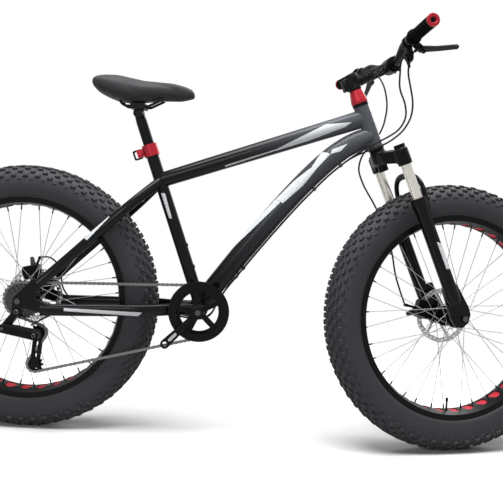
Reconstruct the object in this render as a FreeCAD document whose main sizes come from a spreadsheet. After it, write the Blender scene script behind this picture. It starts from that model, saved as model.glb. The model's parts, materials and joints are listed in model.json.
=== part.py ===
import FreeCAD, Part
import math
import os
from types import SimpleNamespace

import Sketcher
from FreeCAD import Placement, Rotation, Vector

# Fat tire bike, in millimetres. While it is drawn, X points forward, Y to the rider's left and Z up, the rear
# axle is above the origin and the ground is at zero. At the end the whole bike is moved so that the origin is
# under the middle of its box. The steering is drawn turned to the left, as the bike stands in the picture.

SIZES = {
    # Fits and cutting allowance
    "overrun": 5,
    "running_gap": 0.08,
    "part_gap": 0.3,
    # Layout of the bike
    "tyre_radius": 373.9,
    "front_clearance": 337,
    "rear_clearance": 122.1,
    "bracket_drop": 8.9,
    "fork_offset": 41,
    "head_angle": 66.96,
    "seat_angle": 70.2,
    "steer_angle": 15.2,
    "crank_angle": 226,
    # Tyres
    "tyre_width": 98.7,
    "tyre_wall": 4,
    "tread_flat": 24,
    "knob_height": 5.5,
    "knob_root": 1.5,
    "knob_length": 15,
    "knob_width": 9,
    "side_knob_length": 12,
    "side_knob_width": 5,
    "side_knob_height": 2.5,
    "side_knob_reach": 0.95,
    # Rims
    "tyre_height": 87.9,
    "rim_width": 80,
    "rim_wall": 3,
    "rim_depth": 16,
    "rim_drop": 8,
    "rim_bed": 28,
    "rim_hole_length": 29,
    "rim_hole_width": 44,
    "rim_hole_corner": 14,
    # Spokes
    "spoke_radius": 0.9,
    "spoke_spread": 1.5,
    "spoke_bed_offset": 6,
    # Hubs and axles
    "flange_radius": 29,
    "flange_width": 4,
    "barrel_radius": 17,
    "hub_end_radius": 13,
    "rotor_seat_radius": 22,
    "front_hub_half": 68,
    "rear_hub_half": 85,
    "front_flange": 31,
    "rear_flange_left": 36,
    "rear_flange_right": 43,
    "axle_radius": 5,
    "nut_width": 15,
    "front_nut_height": 9,
    "rear_nut_height": 6,
    # Brake rotors and calipers
    "rotor_radius": 80,
    "rotor_thickness": 1.8,
    "rotor_band": 15,
    "rotor_ring": 10,
    "rotor_bore": 14,
    "rotor_arm": 13,
    "front_rotor_y": 52,
    "rear_rotor_y": 62,
    "caliper_length": 52,
    "caliper_depth": 40,
    "caliper_half": 14,
    "caliper_slot": 5,
    "caliper_radius": 64,
    "caliper_boss_radius": 13,
    "caliper_boss_height": 3,
    "caliper_foot": 22,
    "caliper_foot_depth": 8,
    "front_caliper_angle": 142,
    "rear_caliper_angle": 101,
    "front_arm_angle": 180,
    "rear_arm_angle": 101,
    "brake_stop_reach": 27,
    "brake_stop_radius": 5,
    "brake_arm_length": 38,
    "brake_arm_thickness": 3.5,
    "brake_arm_root": 10,
    "brake_arm_tip": 6,
    # Frame tubes
    "head_tube_radius": 21,
    "head_tube_bore": 17.2,
    "head_tube_lift": 74,
    "head_tube_length": 118,
    "top_tube_seat": 379,
    "top_tube_lift": 84,
    "top_tube_width": 40,
    "top_tube_height_seat": 42,
    "top_tube_height_head": 50,
    "down_tube_lift": 29,
    "down_tube_bracket_back": 12,
    "down_tube_bow": 41,
    "down_tube_width": 48,
    "down_tube_height": 57,
    "seat_tube_radius": 17.45,
    "seat_tube_bore": 15.3,
    "seat_tube_length": 478,
    "shell_radius": 22,
    "shell_half": 50,
    "shell_bore": 17.5,
    "boss_radius": 5,
    "boss_height": 2,
    "boss_bore": 2.5,
    "boss_first": 120,
    "boss_spacing": 64,
    # Stays and dropouts
    "chainstay_height": 33,
    "chainstay_width": 19,
    "chainstay_start": 62,
    "chainstay_drop": 21,
    "seatstay_height": 27,
    "seatstay_width": 19,
    "seatstay_start": 52,
    "seatstay_lift": 49,
    "seatstay_top": 376,
    "stay_half": 87.5,
    "dropout_thickness": 5,
    "dropout_length": 86,
    "bridge_radius": 8,
    # Headset
    "steerer_radius": 14.3,
    "cup_radius": 22,
    "lower_cup_height": 11,
    "upper_cup_height": 8,
    "spacer_height": 38,
    "spacer_foot_radius": 23,
    "spacer_top_radius": 16.5,
    # Fork
    "leg_half": 89,
    "leg_offset": 25.3,
    "crown_clearance": 60.1,
    "crown_socket_height": 46,
    "crown_socket_radius": 19.5,
    "crown_bridge_height": 34,
    "crown_bridge_depth": 44,
    "steerer_wall": 3,
    "stanchion_radius": 14,
    "stanchion_wall": 2,
    "stanchion_shown": 95,
    "stanchion_sunk": 190,
    "fork_travel": 50,
    "dial_radius": 15,
    "dial_height": 11,
    "dial_notch_radius": 3,
    "leg_top_radius": 21.5,
    "leg_collar": 26,
    "leg_radius": 18.5,
    "leg_foot": 34,
    "leg_foot_radius": 15,
    "fork_foot_thickness": 9,
    "fork_foot_reach": 27,
    "disc_tab_inner": 74,
    "disc_tab_thickness": 10,
    "disc_tab_length": 42,
    "arch_forward": 54,
    "arch_clearance": 28.1,
    "arch_width": 18,
    "arch_thickness": 12,
    # Stem and bar
    "stem_clamp_radius": 18.5,
    "stem_height": 41,
    "stem_tube_radius": 15.5,
    "stem_length": 125,
    "stem_rise": 11,
    "stem_ear_length": 32,
    "stem_ear_half": 12,
    "bar_clamp_outer": 22,
    "bar_clamp_half": 22,
    "bar_clamp_radius": 15.9,
    "faceplate_gap": 1.5,
    "stem_bolt_head_radius": 4.2,
    "stem_bolt_head_height": 4,
    "steerer_cap_height": 4,
    "bar_radius": 11.1,
    "bar_wall": 2,
    "bar_half": 320,
    "bar_flat_half": 45,
    "bar_bend_half": 115,
    "bar_rise": 26,
    "bar_end_rise": 33,
    "bar_sweep": 24,
    "bar_bend_sweep": 5,
    "bar_bend_radius": 60,
    "bar_sleeve_half": 32,
    "grip_radius": 16,
    "grip_length": 128,
    "grip_cap_radius": 15.5,
    "grip_cap_height": 5,
    "grip_plug_length": 14,
    # Brake levers and shifter
    "perch_inset": 20,
    "perch_width": 15,
    "perch_wall": 4.5,
    "perch_reach": 42,
    "perch_depth": 13,
    "perch_arm": 20,
    "lever_drop_angle": 60,
    "lever_pivot_radius": 3,
    "lever_thickness": 8,
    "lever_length": 128,
    "lever_reach": 86,
    "lever_blade": 11,
    "lever_root": 16,
    "barrel_radius_cable": 4.5,
    "barrel_length": 22,
    "shifter_spacing": 26,
    "shifter_ring_width": 11,
    "shifter_drop": 31,
    "shifter_drop_angle": 100,
    "shifter_radius": 19,
    "shifter_thickness": 16,
    "thumb_length": 34,
    "thumb_width": 11,
    "thumb_thickness": 3,
    "thumb_pin_radius": 3,
    # Seat
    "post_radius": 15.2,
    "post_wall": 2.5,
    "post_sunk": 120,
    "post_shown": 91,
    "post_head_radius": 13,
    "post_head_half": 19,
    "post_neck": 24,
    "collar_height": 33,
    "collar_wall": 4.2,
    "collar_foot": 450,
    "collar_lug_length": 17,
    "collar_lug_half": 9,
    "collar_lug_height": 22,
    "skewer_radius": 2.9,
    "skewer_back": 29,
    "skewer_nut_radius": 7,
    "skewer_nut_height": 6,
    "clamp_lever_length": 24,
    "clamp_lever_height": 28,
    "clamp_lever_thickness": 4,
    "clamp_lever_band": 5,
    "rail_radius": 3.5,
    "rail_half": 22,
    "rail_height": 18,
    "rail_bend_radius": 20,
    "rail_clamp_length": 40,
    "rail_clamp_half": 28,
    "rail_clamp_height": 8,
    "rail_bolt_radius": 3,
    "saddle_length": 288,
    "saddle_back": 127,
    "saddle_width": 150,
    "saddle_height": 103,
    "saddle_base_thickness": 5,
    # Crank set
    "spindle_radius": 8.5,
    "spindle_half": 84,
    "cartridge_flange": 3,
    "cartridge_flange_radius": 20,
    "crank_length": 127,
    "crank_boss_radius": 17,
    "crank_end_radius": 13,
    "crank_thickness": 13,
    "crank_inner": 74,
    "crank_waist": 17,
    "pedal_hole_radius": 7.144,
    "crank_bolt_radius": 6,
    "crank_bolt_height": 4,
    "chain_line": 58,
    "ring_pitch_radius": 72.8,
    "ring_thickness": 2,
    "ring_band": 14,
    "spider_radius": 67,
    "spider_thickness": 4,
    "spider_arm": 17,
    "guard_radius": 84.5,
    "guard_bore": 62,
    "guard_thickness": 3.5,
    # Chain, cassette and derailleur
    "chain_half_height": 4.2,
    "chain_width": 6,
    "tooth_clearance": 0.4,
    "cog_pitch_radius": 48.5,
    "cog_step": 8.08,
    "cog_spacing": 4.6,
    "cog_thickness": 2,
    "cog_core_radius": 18,
    "pulley_pitch_radius": 22.2,
    "pulley_thickness": 4,
    "pulley_bore": 3,
    "guide_x": 50,
    "guide_drop": 91,
    "tension_x": 40,
    "tension_drop": 181,
    "cage_thickness": 2,
    "cage_width": 26,
    "cage_half": 6,
    "hanger_x": -8,
    "hanger_drop": 30,
    "knuckle_radius": 11,
    "knuckle_height": 14,
    "link_half": 9,
    "link_height": 28,
    "link_back_x": -40,
    "link_back_drop": 66,
    "cage_knuckle_radius": 13,
    "cage_knuckle_height": 16,
    # Cables
    "cable_radius": 2.5,
    "cable_guide_half": 7,
    "cable_guide_length": 8,
    "cable_guide_wall": 2,
    "cable_guide_sink": 8,
}

KNOB_PITCH_COUNT = 64
KNOB_ROW_ANGLES = (90, 75, 60, 45, 30, 17)
KNOB_TOP_SHARE = 0.84
SPOKE_COUNT = 36
ROTOR_ARM_COUNT = 6
SPIDER_ARM_COUNT = 5
DIAL_NOTCH_COUNT = 8
COG_COUNT = 7
CHAIN_COG = 1
SPOKE_CROSS = 3
SECTION_COUNT = 12
INNER_RUN_SHARE = 0.45
END_RUN_SHARE = 0.85
HALF_CIRCLE_SHARE = 1.99
TUCK_SHARE = 0.65
TUCK_BULGE_SHARE = 1.02
PAD_FOOT_SHARE = 0.84
VOLUME_TOLERANCE_SHARE = 0.01
SPACER_LIP_SHARE = 0.2
SOCKET_DEPTH_SHARE = 0.8
PRELOAD_CAP_SHARE = 0.6
NOTCH_FOOT_SHARE = 0.35
END_EDGE_SHARE = 1.01
FOOT_CORNER_SHARE = 0.2
EAR_HEIGHT_SHARE = 0.8
EAR_FOOT_SHARE = 0.1
EAR_CORNER_SHARE = 0.4
CUTTER_SHARE = 1.5
BOLT_Y_SHARES = (-0.62, 0.62)
BOLT_Z_SHARES = (-0.86, 0.86)
CAP_CHAMFER_SHARE = 0.4
CAP_OVERLAP_SHARE = 0.2
CAP_ROUND_SHARE = 0.4
PERCH_START_SHARE = 0.75
PERCH_CORNER_SHARE = 0.2
BARREL_REACH_SHARE = 0.72
BARREL_BACK_SHARE = 0.7
LEVER_ROOT_SHARE = 1.6
LEVER_BEND_SHARES = (0.45, 0.4)
LEVER_REACH_SHARE = 0.42
POD_CORNER_SHARE = 0.3
POD_BARREL_SHARE = 1.6
POD_BACK_SHARE = 1.4
POD_DROP_SHARE = 0.9
SADDLE_SHOULDER_SHARE = 0.58
SADDLE_MIDDLE_SHARE = 0.3
BASE_WIDTH_SHARE = 0.36
BASE_TAPER_SHARE = 0.9
CRANK_WAIST_SHARE = 0.28
COG_STEP_SHARE = 0.6
HANGER_ARM_SHARE = 0.6
ARM_ONE_SHARES = (0.7, 0.8, 0.8)
ARM_TWO_SHARES = (0.75, 1, 0.8)
ARM_OVERLAP_SHARE = 0.08

X_AXIS = Vector(1, 0, 0)
Y_AXIS = Vector(0, 1, 0)
Z_AXIS = Vector(0, 0, 1)
ALONG_Y = Rotation(X_AXIS, -90)


class Size:
    """A size that carries its value and the sheet formula that gives it."""

    def __init__(self, value, text):
        self.value = float(value)
        self.text = text

    def __float__(self):
        return self.value

    def __neg__(self):
        return Size(-self.value, "-(%s)" % self.text)

    def __add__(self, other):
        other = as_size(other)
        return Size(self.value + other.value, "(%s + %s)" % (self.text, other.text))

    def __sub__(self, other):
        other = as_size(other)
        return Size(self.value - other.value, "(%s - (%s))" % (self.text, other.text))

    def __mul__(self, share):
        share = as_size(share)
        return Size(self.value * share.value, "(%s * %s)" % (self.text, share.text))

    def __truediv__(self, share):
        share = as_size(share)
        return Size(self.value / share.value, "(%s / %s)" % (self.text, share.text))

    __radd__ = __add__
    __rmul__ = __mul__

    def __rsub__(self, other):
        return as_size(other) - self


def as_size(number):
    if isinstance(number, Size):
        return number
    return Size(number, "(%r)" % float(number))


doc = FreeCAD.newDocument("FatTireBike")
sheet = doc.addObject("Spreadsheet::Sheet", "Sizes")
for row, (alias, number) in enumerate(SIZES.items(), start=1):
    sheet.set("A%d" % row, alias)
    sheet.set("B%d" % row, str(number))
    sheet.setAlias("B%d" % row, alias)
doc.recompute()
s = SimpleNamespace(**{alias: Size(number, "Sizes." + alias) for alias, number in SIZES.items()})

# Sizes that follow from the tyre, the bar and the seat tube
s.rim_radius = s.tyre_radius - s.tyre_height
s.bracket_x = s.tyre_radius + s.rear_clearance
s.bracket_z = s.tyre_radius - s.bracket_drop
s.wheelbase = s.bracket_x + s.tyre_radius + s.front_clearance
s.crown_foot = s.tyre_radius + s.crown_clearance
s.arch_top = s.tyre_radius + s.arch_clearance
s.head_tube_foot = s.crown_foot + s.head_tube_lift
s.head_tube_top = s.head_tube_foot + s.head_tube_length
s.top_tube_head = s.head_tube_foot + s.top_tube_lift
s.down_tube_head = s.head_tube_foot + s.down_tube_lift
s.perch_out = s.bar_half - s.grip_length - s.perch_inset
s.shifter_out = s.perch_out - s.shifter_spacing
s.post_head = s.collar_foot + s.collar_height + s.post_shown

pieces = {}


def vec(x, y, z):
    return Vector(float(x), float(y), float(z))


def bind(thing, prop, size):
    thing.setExpression(prop, as_size(size).text)


def keep(thing, label, frame):
    """Registers a finished sub-part under its label and puts it in its frame."""
    thing.Label = label
    thing.Placement = frame
    pieces[label] = thing
    return thing


# Drawing helpers for sketches


def split_half_circles(points):
    """The same outline with each half circle drawn as two quarters, so that its radius stays well defined."""
    result = []
    for before, point in zip(points[-1:] + points[:-1], points):
        if len(point) > 2:
            x0, y0, x1, y1 = (as_size(size) for size in before[:2] + point[:2])
            radius, side = point[2:]
            if math.hypot(float(x1 - x0), float(y1 - y0)) > float(radius) * HALF_CIRCLE_SHARE:
                middle = ((x0 + x1) / 2 - (y1 - y0) / 2 * side, (y0 + y1) / 2 + (x1 - x0) / 2 * side)
                result.append(middle + (radius, side))
        result.append(point)
    return result


def draw_outline(sketch, points, name="p"):
    """Closed outline. A point (x, y, radius, side) is reached by an arc that bulges to that side of the way."""
    points = split_half_circles(points)
    spots = [(as_size(point[0]), as_size(point[1])) for point in points]
    places = [vec(x, y, 0) for x, y in spots]
    edges = []
    for index, start in enumerate(places):
        target = points[(index + 1) % len(points)]
        end = places[(index + 1) % len(points)]
        if len(target) == 2:
            edges.append(Part.LineSegment(start, end))
        else:
            middle = arc_middle(start, end, float(target[2]), target[3])
            first, last = (start, end) if target[3] < 0 else (end, start)
            edges.append(Part.Arc(first, middle, last))
    numbers = sketch.addGeometry(edges, False)
    begins = []
    for number, start in zip(numbers, places):
        begins.append(1 if sketch.Geometry[number].StartPoint.distanceToPoint(start) < 1e-6 else 2)
    rules = []
    for index, number in enumerate(numbers):
        after = (index + 1) % len(numbers)
        rules.append((None, None, Sketcher.Constraint(
            "Coincident", number, 3 - begins[index], numbers[after], begins[after])))
    for index, number in enumerate(numbers):
        for kind, size in zip(("DistanceX", "DistanceY"), spots[index]):
            rule = Sketcher.Constraint(kind, -1, 1, number, begins[index], size.value)
            rules.append(("%s%d%s" % (name, index, kind[-1]), size, rule))
        target = points[(index + 1) % len(points)]
        if len(target) > 2:
            radius = as_size(target[2])
            rules.append(("%s%dR" % (name, index), radius,
                          Sketcher.Constraint("Radius", number, radius.value)))
    add_rules(sketch, rules)


def arc_middle(start, end, radius, side):
    chord = end - start
    rise = radius - math.sqrt(max(radius ** 2 - (chord.Length / 2) ** 2, 0))
    left = Vector(-chord.y, chord.x, 0).normalize()
    return start + chord * 0.5 + left * rise * side


def draw_circle(sketch, x, y, radius, name="c"):
    x, y, radius = as_size(x), as_size(y), as_size(radius)
    number = sketch.addGeometry(Part.Circle(vec(x, y, 0), Z_AXIS, radius.value), False)
    add_rules(sketch, [
        (name + "X", x, Sketcher.Constraint("DistanceX", -1, 1, number, 3, x.value)),
        (name + "Y", y, Sketcher.Constraint("DistanceY", -1, 1, number, 3, y.value)),
        (name + "R", radius, Sketcher.Constraint("Radius", number, radius.value)),
    ])


def add_rules(sketch, rules):
    numbers = sketch.addConstraint([rule for _, _, rule in rules])
    for number, (name, size, _) in zip(numbers, rules):
        if name and "Sizes" in size.text:
            sketch.renameConstraint(number, name)
            sketch.setExpression("Constraints." + name, size.text)


def rounded_rectangle(x0, x1, y0, y1, corner):
    """Outline of a rectangle with round corners, drawn anticlockwise."""
    return [(x0 + corner, y0, corner, -1), (x1 - corner, y0), (x1, y0 + corner, corner, -1),
            (x1, y1 - corner),
            (x1 - corner, y1, corner, -1), (x0 + corner, y1), (x0, y1 - corner, corner, -1), (x0,
                                                                                              y0 + corner)]


class Build:
    """A body of sketched features, one sub-part."""

    def __init__(self, name):
        self.body = doc.addObject("PartDesign::Body", name)
        self.origin = {feature.Role: feature for feature in self.body.Origin.OriginFeatures}

    def sketch(self, plane, raise_by=None):
        drawing = self.body.newObject("Sketcher::SketchObject", self.body.Name + "_sketch")
        drawing.AttachmentSupport = (self.origin[plane + "_Plane"], [""])
        drawing.MapMode = "FlatFace"
        if raise_by is not None:
            bind(drawing, ".AttachmentOffset.Base.z", raise_by)
        return drawing

    def pad(self, drawing, length, symmetric=False):
        return self._grow("Pad", drawing, length, symmetric)

    def pocket(self, drawing, length, symmetric=False):
        return self._grow("Pocket", drawing, length, symmetric)

    def _grow(self, kind, drawing, length, symmetric):
        before = 0 if self.body.Tip is None else self.body.Shape.Volume
        feature = self.body.newObject("PartDesign::" + kind, self.body.Name + "_" + kind)
        feature.Profile = drawing
        bind(feature, "Length", length)
        if symmetric:
            feature.SideType = "Symmetric"
        doc.recompute()
        if feature.Shape.Volume == before:
            raise ValueError("%s changes nothing" % feature.Name)
        return feature

    def revolve(self, drawing, axis="H_Axis"):
        feature = self.body.newObject("PartDesign::Revolution", self.body.Name + "_turn")
        feature.Profile = drawing
        feature.ReferenceAxis = (drawing, [axis])
        feature.Angle = 360
        doc.recompute()
        return feature

    def around(self, feature, axis, count):
        pattern = self.body.newObject("PartDesign::PolarPattern", self.body.Name + "_pattern")
        pattern.Originals = [feature]
        pattern.Axis = (self.origin[axis + "_Axis"], [""])
        pattern.Angle = 360
        pattern.Occurrences = count
        self.body.Tip = pattern
        doc.recompute()
        return pattern


def turned(name, points):
    """A body turned about the Y axis from an outline of (y, radius) points."""
    build = Build(name)
    drawing = build.sketch("YZ")
    draw_outline(drawing, points)
    build.revolve(drawing)
    return build


# Helpers for primitives and for shapes made along a path


def cylinder(name, radius, height, base=(0, 0, 0), turn=Rotation()):
    thing = doc.addObject("Part::Cylinder", name)
    bind(thing, "Radius", radius)
    bind(thing, "Height", height)
    return place(thing, base, turn)


def cone(name, radius_foot, radius_top, height, base=(0, 0, 0), turn=Rotation()):
    thing = doc.addObject("Part::Cone", name)
    bind(thing, "Radius1", radius_foot)
    bind(thing, "Radius2", radius_top)
    bind(thing, "Height", height)
    return place(thing, base, turn)


def block(name, x0, x1, y0, y1, z0, z1):
    thing = doc.addObject("Part::Box", name)
    bind(thing, "Length", as_size(x1) - x0)
    bind(thing, "Width", as_size(y1) - y0)
    bind(thing, "Height", as_size(z1) - z0)
    return place(thing, (x0, y0, z0), Rotation())


def nut(name, width, height, base, turn):
    thing = doc.addObject("Part::Prism", name)
    thing.Polygon = 6
    bind(thing, "Circumradius", width / math.sqrt(3))
    bind(thing, "Height", height)
    return place(thing, base, turn)


def place(thing, base, turn):
    thing.Placement = Placement(vec(*base), turn)
    for letter, size in zip("xyz", base):
        if "Sizes" in as_size(size).text:
            bind(thing, ".Placement.Base." + letter, size)
    return thing


def join(name, *things):
    thing = doc.addObject("Part::MultiFuse", name)
    thing.Shapes = list(things)
    return thing


def cut(name, base, tool):
    thing = doc.addObject("Part::Cut", name)
    thing.Base = base
    thing.Tool = tool
    return thing


def group(name, *things):
    thing = doc.addObject("Part::Compound", name)
    thing.Links = list(things)
    return thing


def feature(name, shape):
    thing = doc.addObject("Part::Feature", name)
    thing.Shape = shape
    return thing


def shape_of(thing):
    """The finished shape of a document object, in the bike's frame."""
    doc.recompute()
    return thing.Shape


def ellipse(centre, along, side, half_side, half_other):
    """An elliptical section square to a direction, with one axis near the side direction."""
    along = Vector(along).normalize()
    first = (side - along * side.dot(along)).normalize()
    second = along.cross(first)
    if half_side >= half_other:
        curve = Part.Ellipse(centre + first * half_side, centre + second * half_other, centre)
    else:
        curve = Part.Ellipse(centre + second * half_other, centre - first * half_side, centre)
    return Part.Wire([curve.toShape()])


def loft_along(points, side, half_sides, half_others):
    """A smooth oval tube along the curve through some points, with half sizes for each point or one for all."""
    curve = Part.BSplineCurve()
    curve.interpolate(points)
    knots = [curve.parameter(point) for point in points]
    sections = []
    for number in range(SECTION_COUNT + 1):
        spot = knots[0] + (knots[-1] - knots[0]) * number / SECTION_COUNT
        halves = [between(knots, sizes, spot) for sizes in (half_sides, half_others)]
        sections.append(ellipse(curve.value(spot), curve.tangent(spot)[0], side, *halves))
    return Part.makeLoft(sections, True, False)


def between(knots, sizes, spot):
    """The size at a spot, straight between the sizes given at the knots."""
    if isinstance(sizes, Size):
        return sizes.value
    for low, high, first, last in zip(knots, knots[1:], sizes, sizes[1:]):
        if spot <= high:
            return float(first) + (float(last) - float(first)) * (spot - low) / (high - low)
    return float(sizes[-1])


def rounded_path(points, radius=None):
    """Straight runs joined by tangent arcs. Without a radius each arc is as large as its runs allow."""
    edges = []
    radii = []
    start = points[0]
    run_shares = [END_RUN_SHARE] + [INNER_RUN_SHARE] * (len(points) - 3) + [END_RUN_SHARE]
    runs = [(after - before).Length * share for before, after, share in zip(points, points[1:], run_shares)]
    for number, (before, corner, after) in enumerate(zip(points, points[1:], points[2:])):
        back = (before - corner).normalize()
        on = (after - corner).normalize()
        half_turn = (math.pi - back.getAngle(on)) / 2
        bend = min(runs[number:number + 2]) / math.tan(half_turn) if radius is None else float(radius)
        reach = bend * math.tan(half_turn)
        middle = (back + on).normalize()
        centre = corner + middle * (bend / math.cos(half_turn))
        first = corner + back * reach
        last = corner + on * reach
        edges.append(Part.LineSegment(start, first).toShape())
        edges.append(Part.Arc(first, centre - middle * bend, last).toShape())
        radii.append(bend)
        start = last
    edges.append(Part.LineSegment(start, points[-1]).toShape())
    return Part.Wire(edges), radii


def pipe(points, radius, bend=None, label=None):
    """A round rod along a path, its volume compared with its section times its length."""
    path, radii = rounded_path(points, bend)
    section = Part.Wire([Part.Circle(points[0], points[1] - points[0], float(radius)).toShape()])
    solid = Part.Solid(path.makePipeShell([section], True, False))
    wanted = math.pi * float(radius) ** 2 * path.Length
    if abs(abs(solid.Volume) - wanted) > VOLUME_TOLERANCE_SHARE * wanted:
        raise ValueError("a pipe has the wrong volume")
    if label:
        print("%s: length %.0f mm, least bend radius %.1f mm" % (label, path.Length, min(radii)))
    return solid


def mirrored(shape):
    return shape.mirror(Vector(0, 0, 0), Y_AXIS)


def rod(start, end, radius):
    return Part.makeCylinder(float(radius), (end - start).Length, start, end - start)


# Frames that the sub-parts are placed in


def unit(angle):
    """Direction that climbs backwards at an angle from the ground."""
    return Vector(-math.cos(math.radians(float(angle))), 0, math.sin(math.radians(float(angle))))


steer_up = unit(s.head_angle)
seat_up = unit(s.seat_angle)
bracket_point = vec(s.bracket_x, 0, s.bracket_z)
head_sine = math.sin(math.radians(float(s.head_angle)))
steer_point = vec(s.wheelbase.value - s.fork_offset.value / head_sine, 0, s.tyre_radius)

BIKE = Placement()
REAR = Placement(vec(0, 0, s.tyre_radius), Rotation())
BRACKET = Placement(bracket_point, Rotation())
CRANK = Placement(bracket_point, Rotation(Y_AXIS, -s.crank_angle.value))
SEAT = Placement(bracket_point, Rotation(Y_AXIS, s.seat_angle.value - 90))
SADDLE = Placement(bracket_point + seat_up * s.post_head.value, Rotation())
HEAD = Placement(steer_point, Rotation(Y_AXIS, s.head_angle.value - 90))
STEER = HEAD.multiply(Placement(Vector(), Rotation(Z_AXIS, s.steer_angle.value)))
axle_drop = s.fork_offset / math.tan(math.radians(s.head_angle.value))
FRONT = STEER.multiply(Placement(vec(s.fork_offset, 0, -axle_drop), Rotation()))


def on_steer(forward, left, up):
    return STEER.multVec(vec(forward, left, up))


# Wheels


def tyre_carcass():
    """Turned tyre without its knobs, open towards the rim."""
    bead = s.rim_width / 2 - s.rim_wall - s.part_gap
    foot = s.rim_radius - s.rim_depth + s.rim_wall + s.part_gap
    wide = carcass_half
    middle = carcass_top - wide
    flat = s.tread_flat / 2
    inner = bead - s.tyre_wall
    inner_wide = wide - s.tyre_wall
    inner_top = carcass_top - s.tyre_wall
    points = [
        (-bead, foot), (-bead, s.rim_radius), (-wide, middle, wide, 1), (-flat, carcass_top, wide, 1),
        (flat, carcass_top), (wide, middle, wide, 1), (bead, s.rim_radius, wide, 1), (bead, foot),
        (inner, foot), (inner, s.rim_radius), (inner_wide, middle, inner_wide, -1),
        (flat, inner_top, inner_wide, -1), (-flat, inner_top), (-inner_wide, middle, inner_wide, -1),
        (-inner, s.rim_radius, inner_wide, -1), (-inner, foot)]
    return shape_of(turned("tyre_carcass", points).body)


def knob_block(angle, length, width, height):
    """Tapered knob on the carcass at the top of the wheel, at an angle from the side of the tyre."""
    wide = float(carcass_half)
    middle = float(carcass_top) - math.sqrt(wide ** 2 - float(s.tread_flat / 2) ** 2)
    outward = Vector(0, math.cos(math.radians(angle)), math.sin(math.radians(angle)))
    across = Vector(0, outward.z, -outward.y)
    foot = Vector(0, 0, middle) + outward * wide
    foot.z = min(foot.z, float(carcass_top))
    rings = []
    for share, rise in ((1, -s.knob_root), (KNOB_TOP_SHARE, height)):
        along = X_AXIS * (float(length) / 2 * share)
        side = across * (float(width) / 2 * share)
        spot = foot + outward * float(rise)
        corners = [spot - along - side, spot + along - side, spot + along + side, spot - along + side]
        rings.append(Part.makePolygon(corners + corners[:1]))
    return Part.makeLoft(rings, True, True)


def tread_blocks():
    """Rows of knobs round the tyre, every second row moved by half a pitch."""
    step = 360 / KNOB_PITCH_COUNT
    blocks = []
    for row, angle in enumerate(KNOB_ROW_ANGLES):
        sizes = (s.knob_length, s.knob_width, s.knob_height)
        if angle == KNOB_ROW_ANGLES[-1]:
            sizes = (s.side_knob_length, s.side_knob_width, s.side_knob_height)
        for row_angle in sorted({angle, 180 - angle}):
            pattern = knob_block(row_angle, *sizes)
            for number in range(KNOB_PITCH_COUNT):
                block = pattern.copy()
                block.rotate(Vector(), Y_AXIS, (number + row % 2 / 2) * step)
                blocks.append(block)
    return blocks


carcass_half = s.tyre_width / 2 - s.side_knob_reach
carcass_top = s.tyre_radius - s.knob_height
tyre_shape = tyre_carcass().fuse(tread_blocks())


def make_rim(label, frame):
    half = s.rim_width / 2
    edge = s.rim_radius - s.rim_depth
    bed = edge - s.rim_drop
    flat = s.rim_bed / 2
    wall = s.rim_wall
    build = turned(label, [
        (-half, s.rim_radius), (-half, edge), (-flat, bed), (flat, bed), (half, edge), (half, s.rim_radius),
        (half - wall, s.rim_radius), (half - wall, edge + wall), (flat, bed + wall), (-flat, bed + wall),
        (wall - half, edge + wall), (wall - half, s.rim_radius)])
    drawing = build.sketch("XY", s.rim_radius + s.overrun)
    long = s.rim_hole_length / 2
    broad = s.rim_hole_width / 2
    draw_outline(drawing, rounded_rectangle(-long, long, -broad, broad, s.rim_hole_corner))
    hole = build.pocket(drawing, s.rim_depth + s.rim_drop + s.overrun * 2)
    build.around(hole, "Y", SPOKE_COUNT)
    keep(build.body, label, frame)


def make_hub(label, frame, half, flange_left, flange_right, rotor_y):
    bore = s.axle_radius + s.running_gap
    end = half - s.part_gap
    thick = s.flange_width / 2
    seat = rotor_y - s.rotor_thickness / 2
    keep(turned(label, [
        (-end, bore), (-end, s.hub_end_radius), (-flange_right - thick, s.hub_end_radius),
        (-flange_right - thick, s.flange_radius), (thick - flange_right, s.flange_radius),
        (thick - flange_right, s.barrel_radius), (flange_left - thick, s.barrel_radius),
        (flange_left - thick, s.flange_radius), (flange_left + thick, s.flange_radius),
        (flange_left + thick, s.rotor_seat_radius), (seat, s.rotor_seat_radius), (seat, s.hub_end_radius),
        (end, s.hub_end_radius), (end, bore)]).body, label, frame)


def make_spokes(label, frame, flange_left, flange_right):
    """Crossed spokes from the two flanges to the rim bed, each just clear of the hub and the rim."""
    bed = s.rim_radius - s.rim_depth - s.rim_drop
    start_radius = float(s.flange_radius + s.spoke_radius + s.part_gap)
    end_radius = float(bed - s.part_gap)
    step = 2 * math.pi / SPOKE_COUNT
    solids = []
    for number in range(SPOKE_COUNT):
        left = number % 2 == 0
        trailing = number % 4 < 2
        side = 1 if left else -1
        lean = 1 if trailing else -1
        hub_y = side * (float(flange_left if left else flange_right) + lean * float(s.spoke_spread))
        rim_y = side * float(s.spoke_bed_offset)
        rim_turn = (number + 0.5) * step
        hub_turn = rim_turn + lean * SPOKE_CROSS * 2 * step
        start = Vector(start_radius * math.sin(hub_turn), hub_y, start_radius * math.cos(hub_turn))
        end = Vector(end_radius * math.sin(rim_turn), rim_y, end_radius * math.cos(rim_turn))
        solids.append(rod(start, end, s.spoke_radius))
    keep(feature(label, Part.makeCompound(solids)), label, frame)


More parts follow.
